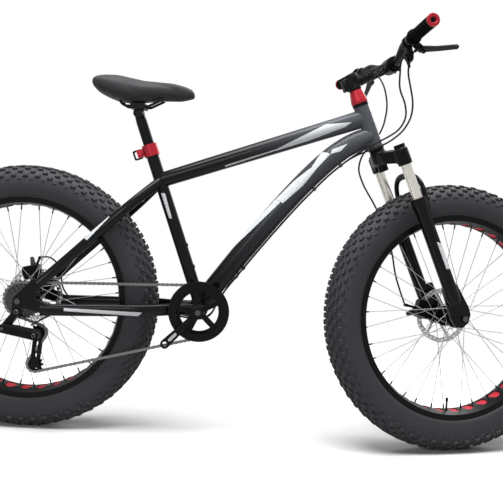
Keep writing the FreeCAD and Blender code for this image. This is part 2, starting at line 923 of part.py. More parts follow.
def make_rotor(label, frame, rotor_y):
    build = Build(label)
    drawing = build.sketch("XZ", -rotor_y)
    draw_circle(drawing, 0, 0, s.rotor_radius)
    draw_circle(drawing, 0, 0, s.rotor_bore + s.running_gap, "b")
    build.pad(drawing, s.rotor_thickness, symmetric=True)
    window = build.sketch("XZ", -rotor_y)
    outer = s.rotor_radius - s.rotor_band
    inner = s.rotor_bore + s.rotor_ring
    spread = math.pi / ROTOR_ARM_COUNT
    half_arm = s.rotor_arm / 2
    half_outer = outer * math.sin(spread) - half_arm
    half_inner = inner * math.sin(spread) - half_arm
    draw_outline(window, [
        (-half_inner, inner), (half_inner, inner), (half_outer, outer * math.cos(spread)),
        (-half_outer, outer * math.cos(spread), outer, -1)])
    opening = build.pocket(window, s.rotor_thickness + s.overrun, symmetric=True)
    build.around(opening, "Y", ROTOR_ARM_COUNT)
    keep(build.body, label, frame)


def make_axle(label, frame, half, nut_height, plate):
    """Axle rod with a hexagon nut outside each dropout."""
    tip = half + plate + nut_height
    axle = cylinder(label + "_rod", s.axle_radius, tip * 2, (0, -tip, 0), ALONG_Y)
    things = [axle]
    for side, y in ((1, half + plate), (-1, -tip)):
        blank = nut(label + "_nut", s.nut_width, nut_height, (0, y, 0), ALONG_Y)
        hole = cylinder(label + "_hole", s.axle_radius, nut_height, (0, y, 0), ALONG_Y)
        things.append(cut(label + "_nut_ring", blank, hole))
    keep(group(label, *things), label, frame)


for where, frame, half, left, right, disc in (
        ("front", FRONT, s.front_hub_half, s.front_flange, s.front_flange, s.front_rotor_y),
        ("rear", REAR, s.rear_hub_half, s.rear_flange_left, s.rear_flange_right, s.rear_rotor_y)):
    keep(feature(where + "_tread", tyre_shape), where + "_tyre", frame)
    make_rim(where + "_rim", frame)
    make_hub(where + "_hub", frame, half, left, right, disc)
    make_spokes(where + "_spokes", frame, left, right)
    make_rotor(where + "_rotor", frame, disc)
make_axle("front_axle", FRONT, s.front_hub_half, s.front_nut_height, s.fork_foot_thickness)
make_axle("rear_axle", REAR, s.rear_hub_half, s.rear_nut_height, s.dropout_thickness)

# Frame tubes

keep(cut("head_tube_wall",
         cylinder("head_tube_rod", s.head_tube_radius, s.head_tube_top - s.head_tube_foot,
                  (0, 0, s.head_tube_foot)),
         cylinder("head_tube_hole", s.head_tube_bore, s.head_tube_top - s.head_tube_foot,
                  (0, 0, s.head_tube_foot))), "head_tube", HEAD)
shell = keep(cut("shell_wall",
                 cylinder("shell_rod", s.shell_radius, s.shell_half * 2, (0, -s.shell_half, 0), ALONG_Y),
                 cylinder("shell_hole", s.shell_bore, s.shell_half * 2, (0, -s.shell_half, 0), ALONG_Y)),
             "bottom_bracket_shell", BRACKET)


def solid_rod(frame, radius, start, end):
    """A solid stand-in for a round tube along the Z axis of a frame, used to mitre the tubes that meet it."""
    return rod(frame.multVec(vec(0, 0, start)), frame.multVec(vec(0, 0, end)), radius)


head_core = solid_rod(HEAD, s.head_tube_radius, s.head_tube_foot, s.head_tube_top)
seat_core = solid_rod(SEAT, s.seat_tube_radius, 0, s.seat_tube_length)
shell_core = rod(bracket_point - Y_AXIS * s.shell_half.value, bracket_point + Y_AXIS * s.shell_half.value,
                 s.shell_radius)

seat_wall = cut("seat_tube_wall",
                cylinder("seat_tube_rod", s.seat_tube_radius, s.seat_tube_length),
                cylinder("seat_tube_hole", s.seat_tube_bore, s.seat_tube_length))
seat_mitre = cylinder("seat_tube_mitre", s.shell_radius, s.shell_half * 2, (0, -s.shell_half, 0), ALONG_Y)
keep(cut("seat_tube_cut", seat_wall, seat_mitre), "seat_tube", SEAT)

top_start = bracket_point + seat_up * s.top_tube_seat.value
top_end = steer_point + steer_up * s.top_tube_head.value
top_way = top_end - top_start
top_station_shares = (0, 0.12, 0.5, 0.85, 1)
top_width_shares = (0.84, 0.9, 1, 1.05, 1)
top_points = [top_start + top_way * share for share in top_station_shares]
top_heights = [(s.top_tube_height_seat * (1 - share) + s.top_tube_height_head * share) / 2
               for share in top_station_shares]
top_widths = [s.top_tube_width * share / 2 for share in top_width_shares]
top_shape = loft_along(top_points, Y_AXIS, top_widths, top_heights).cut(seat_core).cut(head_core)
keep(feature("top_tube_loft", max(top_shape.Solids, key=lambda solid: solid.Volume)), "top_tube", BIKE)

down_start = bracket_point - X_AXIS * s.down_tube_bracket_back.value
down_end = steer_point + steer_up * s.down_tube_head.value
down_way = down_end - down_start
down_out = Vector(-down_way.z, 0, down_way.x).normalize()
down_station_shares = (0, 0.108, 0.394, 0.6, 0.776, 0.898, 1)
down_bow_shares = (0, 0.2, 0.705, 0.95, 0.97, 0.71, 0)
down_height_shares = (0.95, 0.97, 1, 1.02, 1.03, 1, 0.96)
down_points = [down_start + down_way * share + down_out * (s.down_tube_bow.value * bow)
               for share, bow in zip(down_station_shares, down_bow_shares)]
down_heights = [s.down_tube_height * share / 2 for share in down_height_shares]
down_loft = loft_along(down_points, Y_AXIS, s.down_tube_width / 2, down_heights)
down_shape = down_loft.cut(head_core).cut(shell_core).cut(seat_core).cut(pieces["top_tube"].Shape)
down_shape = max(down_shape.Solids, key=lambda solid: solid.Volume)


def bottle_bosses():
    """Two threaded bosses on the seat tube, at the standard spacing, as rods and their holes."""
    bosses = []
    holes = []
    for distance in (s.boss_first, s.boss_first + s.boss_spacing):
        start = vec(s.seat_tube_bore + s.running_gap, 0, distance)
        end = vec(s.seat_tube_radius + s.boss_height, 0, distance)
        bosses.append(rod(SEAT.multVec(start), SEAT.multVec(end), s.boss_radius))
        holes.append(rod(SEAT.multVec(start - X_AXIS * s.overrun.value),
                         SEAT.multVec(end + X_AXIS * s.overrun.value), s.boss_bore))
    return bosses, holes


def under_tube(side):
    """Places of a cable under the down tube, from the head to the bottom bracket."""
    places = []
    for index in range(len(down_points) - 2, 0, -1):
        along = (down_points[index + 1] - down_points[index - 1]).normalize()
        below = Vector(along.z, 0, -along.x)
        drop = float(down_heights[index] + s.cable_radius + s.part_gap)
        places.append(down_points[index] + below * drop + Y_AXIS * (s.cable_guide_half.value * side))
    return places


def cable_guides():
    """Blocks under the down tube that hold the cables halfway between its stations, and the holes in them."""
    blocks = []
    holes = []
    low = float(s.cable_radius + s.cable_guide_wall)
    wide = s.cable_guide_half.value + low
    ends = [under_tube(1), under_tube(-1)]
    for index in guide_stations:
        head, foot = ends[0][index], ends[0][index + 1]
        along = (foot - head).normalize()
        up = Vector(along.z, 0, -along.x)
        middle = (head + foot) * 0.5
        middle.y = 0
        start = middle - along * (s.cable_guide_length.value / 2) - up * low
        corners = [start - Y_AXIS * wide, start + Y_AXIS * wide]
        corners += [corner + up * (low + s.cable_guide_sink.value) for corner in corners[::-1]]
        face = Part.Face(Part.makePolygon(corners + corners[:1]))
        blocks.append(face.extrude(along * s.cable_guide_length.value))
        holes += [rod(way[index], way[index + 1], s.cable_radius + s.running_gap) for way in ends]
    return blocks, holes


guide_stations = (0, 1, 3)
guide_blocks, guide_holes = cable_guides()
boss_rods, boss_holes = bottle_bosses()
seat_shape = shape_of(pieces.pop("seat_tube")).fuse(boss_rods).cut(boss_holes).removeSplitter()
keep(feature("seat_tube_bossed", seat_shape), "seat_tube", BIKE)
down_tube = down_shape.cut(boss_rods).fuse(guide_blocks).cut(guide_holes)
keep(feature("down_tube_loft", down_tube), "down_tube", BIKE)

# Dropouts and stays


def make_dropout(name, side):
    """Flat plate between the stay ends, drawn as shares of its length from the axle."""
    tab_shares = [(-0.19, -0.1), (-0.33, 0.28), (-0.28, 0.75), (0.05, 0.77), (0.17, 0.47)]
    plain_shares = [(-0.19, -0.08), (-0.17, 0.1)]
    stay_shares = [(0.5, 0.77), (0.74, 0.56), (0.53, 0.12), (1, -0.08), (1, -0.42), (0.14, -0.21)]
    hanger_shares = [(0.03, -0.45), (-0.2, -0.45)]
    left = side > 0
    shares = (tab_shares if left else plain_shares) + stay_shares + ([] if left else hanger_shares)
    inner = s.rear_hub_half if left else -s.rear_hub_half - s.dropout_thickness
    build = Build(name)
    drawing = build.sketch("XZ", -(inner + s.dropout_thickness))
    draw_outline(drawing, [(s.dropout_length * x, s.dropout_length * z) for x, z in shares])
    draw_circle(drawing, 0, 0, s.axle_radius + s.running_gap)
    build.pad(drawing, s.dropout_thickness)
    build.body.Placement = REAR
    return build.body


dropouts = [make_dropout("dropout_plate", side) for side in (1, -1)]
keep(group("dropout_pair", *dropouts), "dropouts", BIKE)
plates = shape_of(pieces["dropouts"])

chain_way = (s.bracket_x - s.chainstay_start).value
chain_station_shares = (0, 0.2, 0.55, 0.65, 0.79, 0.98)
chain_half_shares = (0.97, 0.93, 0.8, 0.75, 0.5, 0.42)
chain_rear_z = s.tyre_radius - s.chainstay_drop
chain_points = [vec(s.chainstay_start.value + chain_way * share, s.stay_half * half,
                    chain_rear_z * (1 - share) + s.bracket_z * share)
                for share, half in zip(chain_station_shares, chain_half_shares)]
chainstay = loft_along(chain_points, Z_AXIS, s.chainstay_height / 2, s.chainstay_width / 2)
chainstay = chainstay.cut(shell_core).cut(plates).cut(down_shape)
chainstay = max(chainstay.Solids, key=lambda solid: solid.Volume)
keep(feature("chainstay_pair", Part.makeCompound([chainstay, mirrored(chainstay).cut(plates)])),
     "chainstays", BIKE)

stay_foot = vec(s.seatstay_start, 0, s.tyre_radius + s.seatstay_lift)
stay_way = bracket_point + seat_up * s.seatstay_top.value - stay_foot
stay_station_shares = (0, 0.43, 0.67, 0.81, 0.95, 1)
stay_half_shares = (0.97, 0.8, 0.75, 0.6, 0.27, 0.12)
stay_points = [stay_foot + stay_way * share + Y_AXIS * (s.stay_half.value * half)
               for share, half in zip(stay_station_shares, stay_half_shares)]
seatstay = loft_along(stay_points, Y_AXIS, s.seatstay_width / 2, s.seatstay_height / 2)
seatstay = seatstay.cut(seat_core).cut(plates).cut(pieces["top_tube"].Shape)
seatstay = seatstay.common(Part.makeBox(stay_way.Length * 2, stay_way.Length, stay_way.Length * 2,
                                        stay_foot - vec(stay_way.Length, 0, stay_way.Length)))
seatstay = max(seatstay.Solids, key=lambda solid: solid.Volume)
bridge_share = 0.82
bridge_middle = stay_foot + stay_way * bridge_share
bridge = rod(bridge_middle - Y_AXIS * s.stay_half.value, bridge_middle + Y_AXIS * s.stay_half.value,
             s.bridge_radius)
other_stay = mirrored(seatstay).cut(plates)
bridge = bridge.cut(seatstay).cut(other_stay)
bridge = min(bridge.Solids, key=lambda solid: abs(solid.CenterOfMass.y))
keep(feature("seatstay_pair", Part.makeCompound([seatstay, other_stay, bridge])), "seatstays", BIKE)

# Headset


def ring(name, radius, bore, height, foot):
    return cut(name, cylinder(name + "_rod", radius, height, (0, 0, foot)),
               cylinder(name + "_hole", bore, height, (0, 0, foot)))


steerer_hole = s.steerer_radius + s.running_gap
upper_cup_top = s.head_tube_top + s.upper_cup_height
lower_cup_foot = s.head_tube_foot - s.lower_cup_height
keep(group("headset_pair",
           ring("lower_cup", s.cup_radius, steerer_hole, s.lower_cup_height, lower_cup_foot),
           ring("upper_cup", s.cup_radius, steerer_hole, s.upper_cup_height, s.head_tube_top)),
     "headset", HEAD)

spacer_top = upper_cup_top + s.spacer_height
spacer_build = Build("spacer_turn")
spacer_drawing = spacer_build.sketch("XZ")
spacer_lip = s.spacer_height * SPACER_LIP_SHARE
draw_outline(spacer_drawing, [
    (s.steerer_radius, upper_cup_top + s.part_gap), (s.spacer_foot_radius, upper_cup_top + s.part_gap),
    (s.spacer_foot_radius, upper_cup_top + spacer_lip), (s.spacer_top_radius, spacer_top),
    (s.steerer_radius, spacer_top)])
spacer_build.revolve(spacer_drawing, "V_Axis")
keep(spacer_build.body, "headset_spacer", STEER)

# Fork crown, stanchions and dial

crown_top = s.crown_foot + s.crown_socket_height
race_top = lower_cup_foot - s.part_gap
stem_top = spacer_top + s.stem_height


def crown_shape():
    """Steerer, bridge and two sockets as one forging, with the leg bores cut through."""
    crown_shares = ((0, 0.08, 1, 0.5, 0.25), (0.5, 0.3, 0.85, 0.42, 0.14), (0.8, 0.8, 0.7, 0.25, 0),
                    (1, 1, 0.6, 0.1, 0))
    half = s.leg_half.value
    bridge_top = s.crown_foot.value + s.crown_socket_height.value
    depth = s.crown_bridge_depth.value
    steerer = Part.makeCylinder(float(s.steerer_radius), float(stem_top - s.crown_foot),
                                vec(0, 0, s.crown_foot))
    race = Part.makeCylinder(float(s.cup_radius), float(s.crown_bridge_height),
                             vec(0, 0, race_top - s.crown_bridge_height))
    solid = steerer.fuse(race)
    for side in (1, -1):
        sections = []
        for y_share, middle_share, wide_share, foot_share, lift_share in crown_shares:
            middle = s.leg_offset.value * middle_share
            wide = depth * wide_share / 2
            top = bridge_top + s.crown_bridge_height.value * lift_share
            foot = s.crown_foot.value + s.crown_socket_height.value * foot_share
            corners = [(middle - wide, foot), (middle + wide, foot), (middle + wide, top),
                       (middle - wide, top)]
            spots = [vec(x, side * half * y_share, z) for x, z in corners]
            sections.append(Part.makePolygon(spots + spots[:1]))
        socket = Part.makeCylinder(float(s.crown_socket_radius), float(s.crown_socket_height),
                                   vec(s.leg_offset, side * half, s.crown_foot))
        solid = solid.fuse(Part.makeLoft(sections, True, True)).fuse(socket)
    for side in (1, -1):
        depth_in = float(s.crown_socket_height * SOCKET_DEPTH_SHARE)
        solid = solid.cut(Part.makeCylinder(float(s.stanchion_radius), depth_in,
                                            vec(s.leg_offset, side * half, s.crown_foot)))
    bore = Part.makeCylinder(float(s.steerer_radius - s.steerer_wall), float(stem_top - s.crown_foot),
                             vec(0, 0, s.crown_foot))
    return solid.cut(bore).removeSplitter()


preload_cap = Part.makeCylinder(float(s.dial_radius), float(s.dial_height * PRELOAD_CAP_SHARE),
                                vec(s.leg_offset, s.leg_half, crown_top + s.part_gap))
keep(feature("crown_and_cap", Part.makeCompound([crown_shape(), preload_cap])), "fork_crown", STEER)

stanchion_top = s.crown_foot + s.crown_socket_height * SOCKET_DEPTH_SHARE
stanchion_foot = s.crown_foot - s.stanchion_shown - s.stanchion_sunk
stanchion_rods = []
for side in (1, -1):
    spot = (s.leg_offset, s.leg_half * side, stanchion_foot)
    stanchion_rods.append(cut(
        "stanchion_wall", cylinder("stanchion_rod", s.stanchion_radius, stanchion_top - stanchion_foot, spot),
        cylinder("stanchion_hole", s.stanchion_radius - s.stanchion_wall, stanchion_top - stanchion_foot,
                 spot)))
keep(group("stanchion_pair", *stanchion_rods), "stanchions", STEER)

dial = Build("dial_knob")
dial_drawing = dial.sketch("XY")
draw_circle(dial_drawing, 0, 0, s.dial_radius)
dial.pad(dial_drawing, s.dial_height)
notch_drawing = dial.sketch("XY", s.dial_height * NOTCH_FOOT_SHARE)
draw_circle(notch_drawing, s.dial_radius, 0, s.dial_notch_radius)
notch_feature = dial.body.newObject("PartDesign::Pocket", "dial_notch")
notch_feature.Profile = notch_drawing
notch_feature.Reversed = True
bind(notch_feature, "Length", s.dial_height)
doc.recompute()
dial.around(notch_feature, "Z", DIAL_NOTCH_COUNT)
dial_spot = vec(s.leg_offset, -s.leg_half, crown_top + s.part_gap)
keep(dial.body, "lockout_dial", STEER.multiply(Placement(dial_spot, Rotation())))

# Fork lowers


def leg_shape(side):
    """One leg turned from its outline, with the bore that the stanchion runs in."""
    top = float(s.crown_foot - s.stanchion_shown)
    collar = top - s.leg_collar.value
    foot = s.leg_foot.value
    round_end = s.leg_foot_radius.value
    bore = float(s.stanchion_radius + s.running_gap)
    depth = float(stanchion_foot - s.fork_travel - s.part_gap)
    outline = [(0, foot), (round_end, foot), (s.leg_radius, foot + round_end),
               (s.leg_radius, collar - round_end),
               (s.leg_top_radius, collar), (s.leg_top_radius, top), (bore, top), (bore, depth), (0, depth)]
    spots = [vec(x, 0, z) for x, z in outline]
    face = Part.Face(Part.makePolygon(spots + spots[:1]))
    solid = face.revolve(Vector(), Z_AXIS, 360)
    solid.translate(vec(s.leg_offset, s.leg_half * side, 0))
    return solid


def foot_shape(side):
    """Flat dropout at the end of a leg, around the axle."""
    reach = s.fork_foot_reach.value
    outline_shares = [(-0.55, 3), (1.1, 3), (1.5, 0.3), (1.42, -0.5), (0.9, -1.2), (0.1, -1.45),
                      (-0.55, -1.1),
                      (-0.75, -0.2)]
    middle = s.leg_offset.value
    inner = s.front_hub_half.value
    y = inner if side > 0 else -inner - s.fork_foot_thickness.value
    spots = [vec(middle + x * reach, y, z * reach) for x, z in outline_shares]
    plate = Part.Face(Part.makePolygon(spots + spots[:1])).extrude(Y_AXIS * s.fork_foot_thickness.value)
    ends = [edge for edge in plate.Edges if edge.Length < s.fork_foot_thickness.value * END_EDGE_SHARE
            and abs(edge.tangentAt(edge.FirstParameter).y) > 0.9]
    return plate.makeFillet(reach * FOOT_CORNER_SHARE, ends)


def disc_tab():
    """Flat tab behind the foot of the left leg, which carries the brake caliper."""
    tab_shares = [(0.02, 1.76), (-0.75, 1.48), (-0.98, 0.52), (-0.7, 0.1), (0.02, -0.1)]
    spots = [vec(s.leg_offset + s.disc_tab_length * x, s.disc_tab_inner, s.disc_tab_length * z - axle_drop)
             for x, z in tab_shares]
    return Part.Face(Part.makePolygon(spots + spots[:1])).extrude(Y_AXIS * s.disc_tab_thickness.value)


arch_half_shares = (0.99, 0.98, 0.82, 0.45, 0)
arch_up_shares = (0.735, 0.85, 0.948, 0.993, 1)
arch_forward_shares = (0.72, 0.93, 1, 1, 1)
arch_half = [vec(s.arch_forward * ahead, s.leg_half * -out, s.arch_top * up)
             for out, up, ahead in zip(arch_half_shares, arch_up_shares, arch_forward_shares)]
arch_points = arch_half + [Vector(point.x, -point.y, point.z) for point in arch_half[-2::-1]]
lowers = loft_along(arch_points, X_AXIS, s.arch_thickness / 2, s.arch_width / 2)
for side in (1, -1):
    lowers = lowers.fuse(leg_shape(side)).fuse(foot_shape(side))
lowers = lowers.fuse(disc_tab())
for side in (1, -1):
    spot = vec(s.leg_offset, s.leg_half * side, stanchion_foot - s.fork_travel - s.part_gap)
    lowers = lowers.cut(Part.makeCylinder(float(s.stanchion_radius + s.running_gap), float(s.crown_foot),
                                          spot))
axle_hole = rod(vec(s.fork_offset, -s.leg_half * 2, -axle_drop),
                vec(s.fork_offset, s.leg_half * 2, -axle_drop),
                s.axle_radius + s.running_gap)
keep(feature("lowers_casting", lowers.cut(axle_hole).removeSplitter()), "fork_lowers", STEER)

# Brake calipers and their arms


def make_caliper(where, frame, rotor_y, angle, arm_angle, carrier, carrier_face):
    """Two-sided caliper over the rotor's edge with a foot on its carrier, a cable stop, and its cable arm."""
    turn = Rotation(Y_AXIS, -angle.value)
    long = s.caliper_length / 2
    low = s.caliper_radius - s.caliper_depth / 2
    boss_y = rotor_y + s.caliper_half
    arm_foot = boss_y + s.caliper_boss_height + s.part_gap
    arm_face = arm_foot + s.brake_arm_thickness
    body = Part.makeBox(float(s.caliper_depth), float(s.caliper_half * 2), float(s.caliper_length),
                        vec(low, rotor_y - s.caliper_half, -long))
    corners = [edge for edge in body.Edges if abs(edge.tangentAt(edge.FirstParameter).y) > 0.9]
    body = body.makeFillet(float(s.caliper_depth * corner_share), corners)
    boss = Part.makeCylinder(float(s.caliper_boss_radius), float(s.caliper_boss_height),
                             vec(s.caliper_radius, boss_y, 0), Y_AXIS)
    foot = Part.makeBox(float(s.caliper_foot_depth), float(carrier_face - rotor_y), float(s.caliper_foot),
                        vec(low, rotor_y, s.caliper_foot / -2))
    slot = Part.makeCylinder(float(s.rotor_radius + s.caliper_slot / 2), float(s.caliper_slot),
                             vec(0, rotor_y - s.caliper_slot / 2, 0), Y_AXIS)
    solid = body.fuse([boss, foot]).cut(slot)
    solid.Placement = Placement(Vector(), turn)
    pivot = turn.multVec(vec(s.caliper_radius, 0, 0))
    arm_turn = Rotation(Y_AXIS, 90 - arm_angle.value)
    stop = pivot + arm_turn.multVec(vec(s.brake_stop_reach, 0, s.brake_arm_length))
    strut_y = Y_AXIS * float(boss_y - s.brake_stop_radius)
    strut = rod(pivot + strut_y, stop + strut_y, s.brake_stop_radius * strut_share)
    stop_pin = rod(stop + Y_AXIS * float(boss_y - s.brake_stop_radius * 2), stop + Y_AXIS * float(arm_face),
                   s.brake_stop_radius)
    solid = solid.fuse([strut, stop_pin])
    solid.Placement = frame.multiply(solid.Placement)
    solid = solid.cut(carrier)
    solid = max(solid.Solids, key=lambda piece: piece.Volume)
    keep(feature(where + "_caliper_body", solid), where + "_caliper", BIKE)
    arm = Build(where + "_arm")
    drawing = arm.sketch("XZ", -arm_face)
    root = s.brake_arm_root
    tip = s.brake_arm_tip
    draw_outline(drawing, [(-root, 0), (root, 0, root, -1), (tip, s.brake_arm_length),
                           (-tip, s.brake_arm_length, tip, -1)])
    arm.pad(drawing, s.brake_arm_thickness)
    keep(arm.body, where + "_brake_arm", frame.multiply(Placement(pivot, arm_turn)))
    arm_middle = Y_AXIS * float((arm_foot + arm_face) / 2)
    pull = arm_turn.multVec(X_AXIS)
    cable_end = stop + arm_middle + pull * float(s.brake_stop_radius + s.part_gap)
    return frame.multVec(pivot + arm_middle), frame.multVec(cable_end), frame.Rotation.multVec(pull)


corner_share = 0.2
strut_share = 0.8
front_arm_pivot, front_cable_end, front_pull = make_caliper(
    "front", FRONT, s.front_rotor_y, s.front_caliper_angle, s.front_arm_angle, shape_of(pieces["fork_lowers"]),
    s.disc_tab_inner)
rear_arm_pivot, rear_cable_end, rear_pull = make_caliper(
    "rear", REAR, s.rear_rotor_y, s.rear_caliper_angle, s.rear_arm_angle, plates, s.rear_hub_half)

# Stem, faceplate and handlebar

bar_x = s.stem_length
bar_z = spacer_top + s.stem_height / 2 + s.stem_rise
stem_middle = spacer_top + s.stem_height / 2


def stem_solid():
    """Steerer clamp, tube and the rear half of the bar clamp, with the pinch ears behind."""
    clamp = Part.makeCylinder(float(s.stem_clamp_radius), float(s.stem_height), vec(0, 0, spacer_top))
    tube = rod(vec(0, 0, stem_middle), vec(bar_x, 0, bar_z), s.stem_tube_radius)
    eye = Part.makeCylinder(float(s.bar_clamp_outer), float(s.bar_clamp_half * 2),
                            vec(bar_x, -s.bar_clamp_half, bar_z), Y_AXIS)
    ears = Part.makeBox(float(s.stem_ear_length), float(s.stem_ear_half * 2),
                        float(s.stem_height * EAR_HEIGHT_SHARE),
                        vec(-s.stem_ear_length, -s.stem_ear_half,
                            spacer_top + s.stem_height * EAR_FOOT_SHARE))
    edges = [edge for edge in ears.Edges if abs(edge.tangentAt(edge.FirstParameter).z) > 0.9]
    ears = ears.makeFillet(float(s.stem_ear_half * EAR_CORNER_SHARE), edges)
    solid = clamp.fuse([tube, eye, ears])
    slit = Part.makeBox(float(s.stem_ear_length), float(s.faceplate_gap), float(s.stem_height * 2),
                        vec(-s.stem_ear_length - s.steerer_radius / 2, -s.faceplate_gap / 2,
                            spacer_top - s.stem_height / 2))
    front = Part.makeBox(float(s.bar_clamp_outer * 2), float(s.bar_clamp_half * 3),
                         float(s.bar_clamp_outer * 3),
                         vec(bar_x - s.faceplate_gap / 2, s.bar_clamp_half * -CUTTER_SHARE,
                             bar_z - s.bar_clamp_outer * CUTTER_SHARE))
    bore = Part.makeCylinder(float(s.steerer_radius), float(s.stem_height * 2),
                             vec(0, 0, spacer_top - s.overrun))
    return solid.cut([bore, front, slit, bar_hole()]).removeSplitter()


def bar_hole():
    return Part.makeCylinder(float(s.bar_clamp_radius), float(s.bar_clamp_half * 4),
                             vec(bar_x, s.bar_clamp_half * -2, bar_z), Y_AXIS)


keep(feature("stem_forging", stem_solid()), "stem", STEER)


def faceplate_parts():
    """Front half of the bar clamp, its four bolts, and the cap with its bolt on the steerer."""
    eye = Part.makeCylinder(float(s.bar_clamp_outer), float(s.bar_clamp_half * 2),
                            vec(bar_x, -s.bar_clamp_half, bar_z), Y_AXIS)
    back = Part.makeBox(float(s.bar_clamp_outer * 2), float(s.bar_clamp_half * 3),
                        float(s.bar_clamp_outer * 3),
                        vec(bar_x + s.faceplate_gap / 2 - s.bar_clamp_outer * 2,
                            s.bar_clamp_half * -CUTTER_SHARE,
                            bar_z - s.bar_clamp_outer * CUTTER_SHARE))
    plate = eye.cut([back, bar_hole()])
    bolts = []
    for y_share in BOLT_Y_SHARES:
        for z_share in BOLT_Z_SHARES:
            seat = vec(bar_x + s.bar_clamp_outer / 2, s.bar_clamp_half * y_share,
                       bar_z + s.bar_clamp_outer * z_share)
            head = Part.makeCylinder(float(s.stem_bolt_head_radius), float(s.stem_bolt_head_height), seat,
                                     X_AXIS)
            bolts.append(head)
    plate = plate.cut(bolts)
    cap = Part.makeCylinder(float(s.stem_clamp_radius), float(s.steerer_cap_height), vec(0, 0, stem_top))
    cap = cap.makeChamfer(float(s.steerer_cap_height * CAP_CHAMFER_SHARE), [cap.Edges[0]])
    return Part.makeCompound([max(plate.Solids, key=lambda piece: piece.Volume), cap] + bolts)


keep(feature("faceplate_set", faceplate_parts()), "stem_faceplate", STEER)


def bar_points(side):
    """The bar's centre line from its middle to one end."""
    return [vec(bar_x, 0, bar_z), vec(bar_x, s.bar_flat_half * side, bar_z),
            vec(bar_x - s.bar_bend_sweep, s.bar_bend_half * side, bar_z + s.bar_rise),
            vec(bar_x - s.bar_sweep, s.bar_half * side, bar_z + s.bar_end_rise)]


bar_line = bar_points(1)[:0:-1] + bar_points(-1)[1:]
bar_outer = pipe(bar_line, s.bar_radius, s.bar_bend_radius)
sleeve = Part.makeCylinder(float(s.bar_clamp_radius), float(s.bar_sleeve_half * 2),
                           vec(bar_x, -s.bar_sleeve_half, bar_z), Y_AXIS)
bar_inner = pipe(bar_line, s.bar_radius - s.bar_wall, s.bar_bend_radius)
keep(feature("bar_tube", bar_outer.fuse(sleeve).cut(bar_inner)), "handlebar", STEER)


def bar_place(distance, side):
    """Point on the straight outer run of the bar, and the outward direction there."""
    bend, end = bar_points(side)[2:]
    out = (end - bend).normalize()
    return bend + out * ((float(distance) - s.bar_bend_half.value) / abs(out.y)), out


def sleeve_on_bar(distance, side, length, radius, bore):
    centre, out = bar_place(distance, side)
    start = centre - out * (float(length) / 2)
    solid = Part.makeCylinder(float(radius), float(length), start, out)
    return solid.cut(Part.makeCylinder(float(bore), float(length), start, out))


grip_middle = s.bar_half - s.grip_length / 2 - s.grip_cap_height * CAP_OVERLAP_SHARE
keep(feature("grip_pair", Part.makeCompound([
    sleeve_on_bar(grip_middle, side, s.grip_length, s.grip_radius, s.bar_radius) for side in (1, -1)])),
    "grips", STEER)


def grip_cap(side):
    centre, out = bar_place(s.bar_half, side)
    start = centre + out * s.running_gap.value
    disc = Part.makeCylinder(float(s.grip_cap_radius), float(s.grip_cap_height), start, out)
    plug = Part.makeCylinder(float(s.bar_radius - s.bar_wall - s.running_gap), float(s.grip_plug_length),
                             start - out * s.grip_plug_length.value, out)
    return disc.makeFillet(float(s.grip_cap_height * CAP_ROUND_SHARE),
                           [disc.Edges[0]]).fuse(plug).removeSplitter()


keep(feature("grip_cap_pair", Part.makeCompound([grip_cap(side) for side in (1, -1)])), "grip_end_caps",
     STEER)

# Brake levers and shifter


def control_frame(distance, side, drop_angle):
    """Frame on the bar: X points out along the bar, Y down at an angle from straight ahead."""
    centre, out = bar_place(distance, side)
    angle = math.radians(drop_angle.value)
    down = Vector(math.cos(angle), 0, -math.sin(angle))
    down = (down - out * down.dot(out)).normalize()
    normal = out.cross(down)
    return Placement(FreeCAD.Matrix(out.x, down.x, normal.x, centre.x, out.y, down.y, normal.y, centre.y,
                                    out.z, down.z, normal.z, centre.z, 0, 0, 0, 1))


def perch_shape(side):
    """Clamp ring on the bar, an arm to the lever's pivot and the cable barrel."""
    width = s.perch_width.value
    outer = float(s.bar_radius + s.perch_wall)
    ring_part = Part.makeCylinder(outer, width, vec(-s.perch_width / 2, 0, 0), X_AXIS)
    arm = Part.makeBox(float(s.perch_arm), float(s.perch_reach), float(s.perch_depth),
                       vec(s.perch_arm * -PERCH_START_SHARE, 0, -s.perch_depth / 2))
    edges = [edge for edge in arm.Edges if abs(edge.tangentAt(edge.FirstParameter).z) > 0.9]
    arm = arm.makeFillet(float(s.perch_arm * PERCH_CORNER_SHARE), edges)
    barrel_y = s.perch_reach * BARREL_REACH_SHARE
    barrel = Part.makeCylinder(float(s.barrel_radius_cable), float(s.barrel_length),
                               vec(-s.perch_arm * BARREL_BACK_SHARE - s.barrel_length, barrel_y, 0), X_AXIS)
    hole = Part.makeCylinder(float(s.bar_radius), width * 3, vec(s.perch_width * -CUTTER_SHARE, 0, 0), X_AXIS)
    solid = ring_part.fuse([arm, barrel]).cut([hole, lever_room()])
    pin = Part.makeCylinder(float(s.lever_pivot_radius), float(s.perch_depth),
                            vec(0, s.perch_reach, -s.perch_depth / 2))
    fork_ear = Part.makeCylinder(float(s.lever_root / 2), float(s.perch_depth),
                                 vec(0, s.perch_reach, -s.perch_depth / 2))
    solid = solid.fuse(fork_ear.cut(lever_room())).fuse(pin)
    solid.Placement = STEER.multiply(control_frame(s.perch_out, side, s.lever_drop_angle))
    return solid


def lever_room():
    """Slot in the lever clamp that the lever's root swings in."""
    swing_share = 0.8
    high = s.lever_thickness + s.part_gap * 2
    back = s.lever_root / 2 + s.part_gap * 2
    return Part.makeBox(float(s.perch_arm * 4), float(s.lever_root * 2), float(high),
                        vec(-back, s.perch_reach - s.lever_root * swing_share, -high / 2))


keep(feature("perch_pair", Part.makeCompound([perch_shape(side) for side in (1, -1)])),
     "brake_lever_clamps", BIKE)


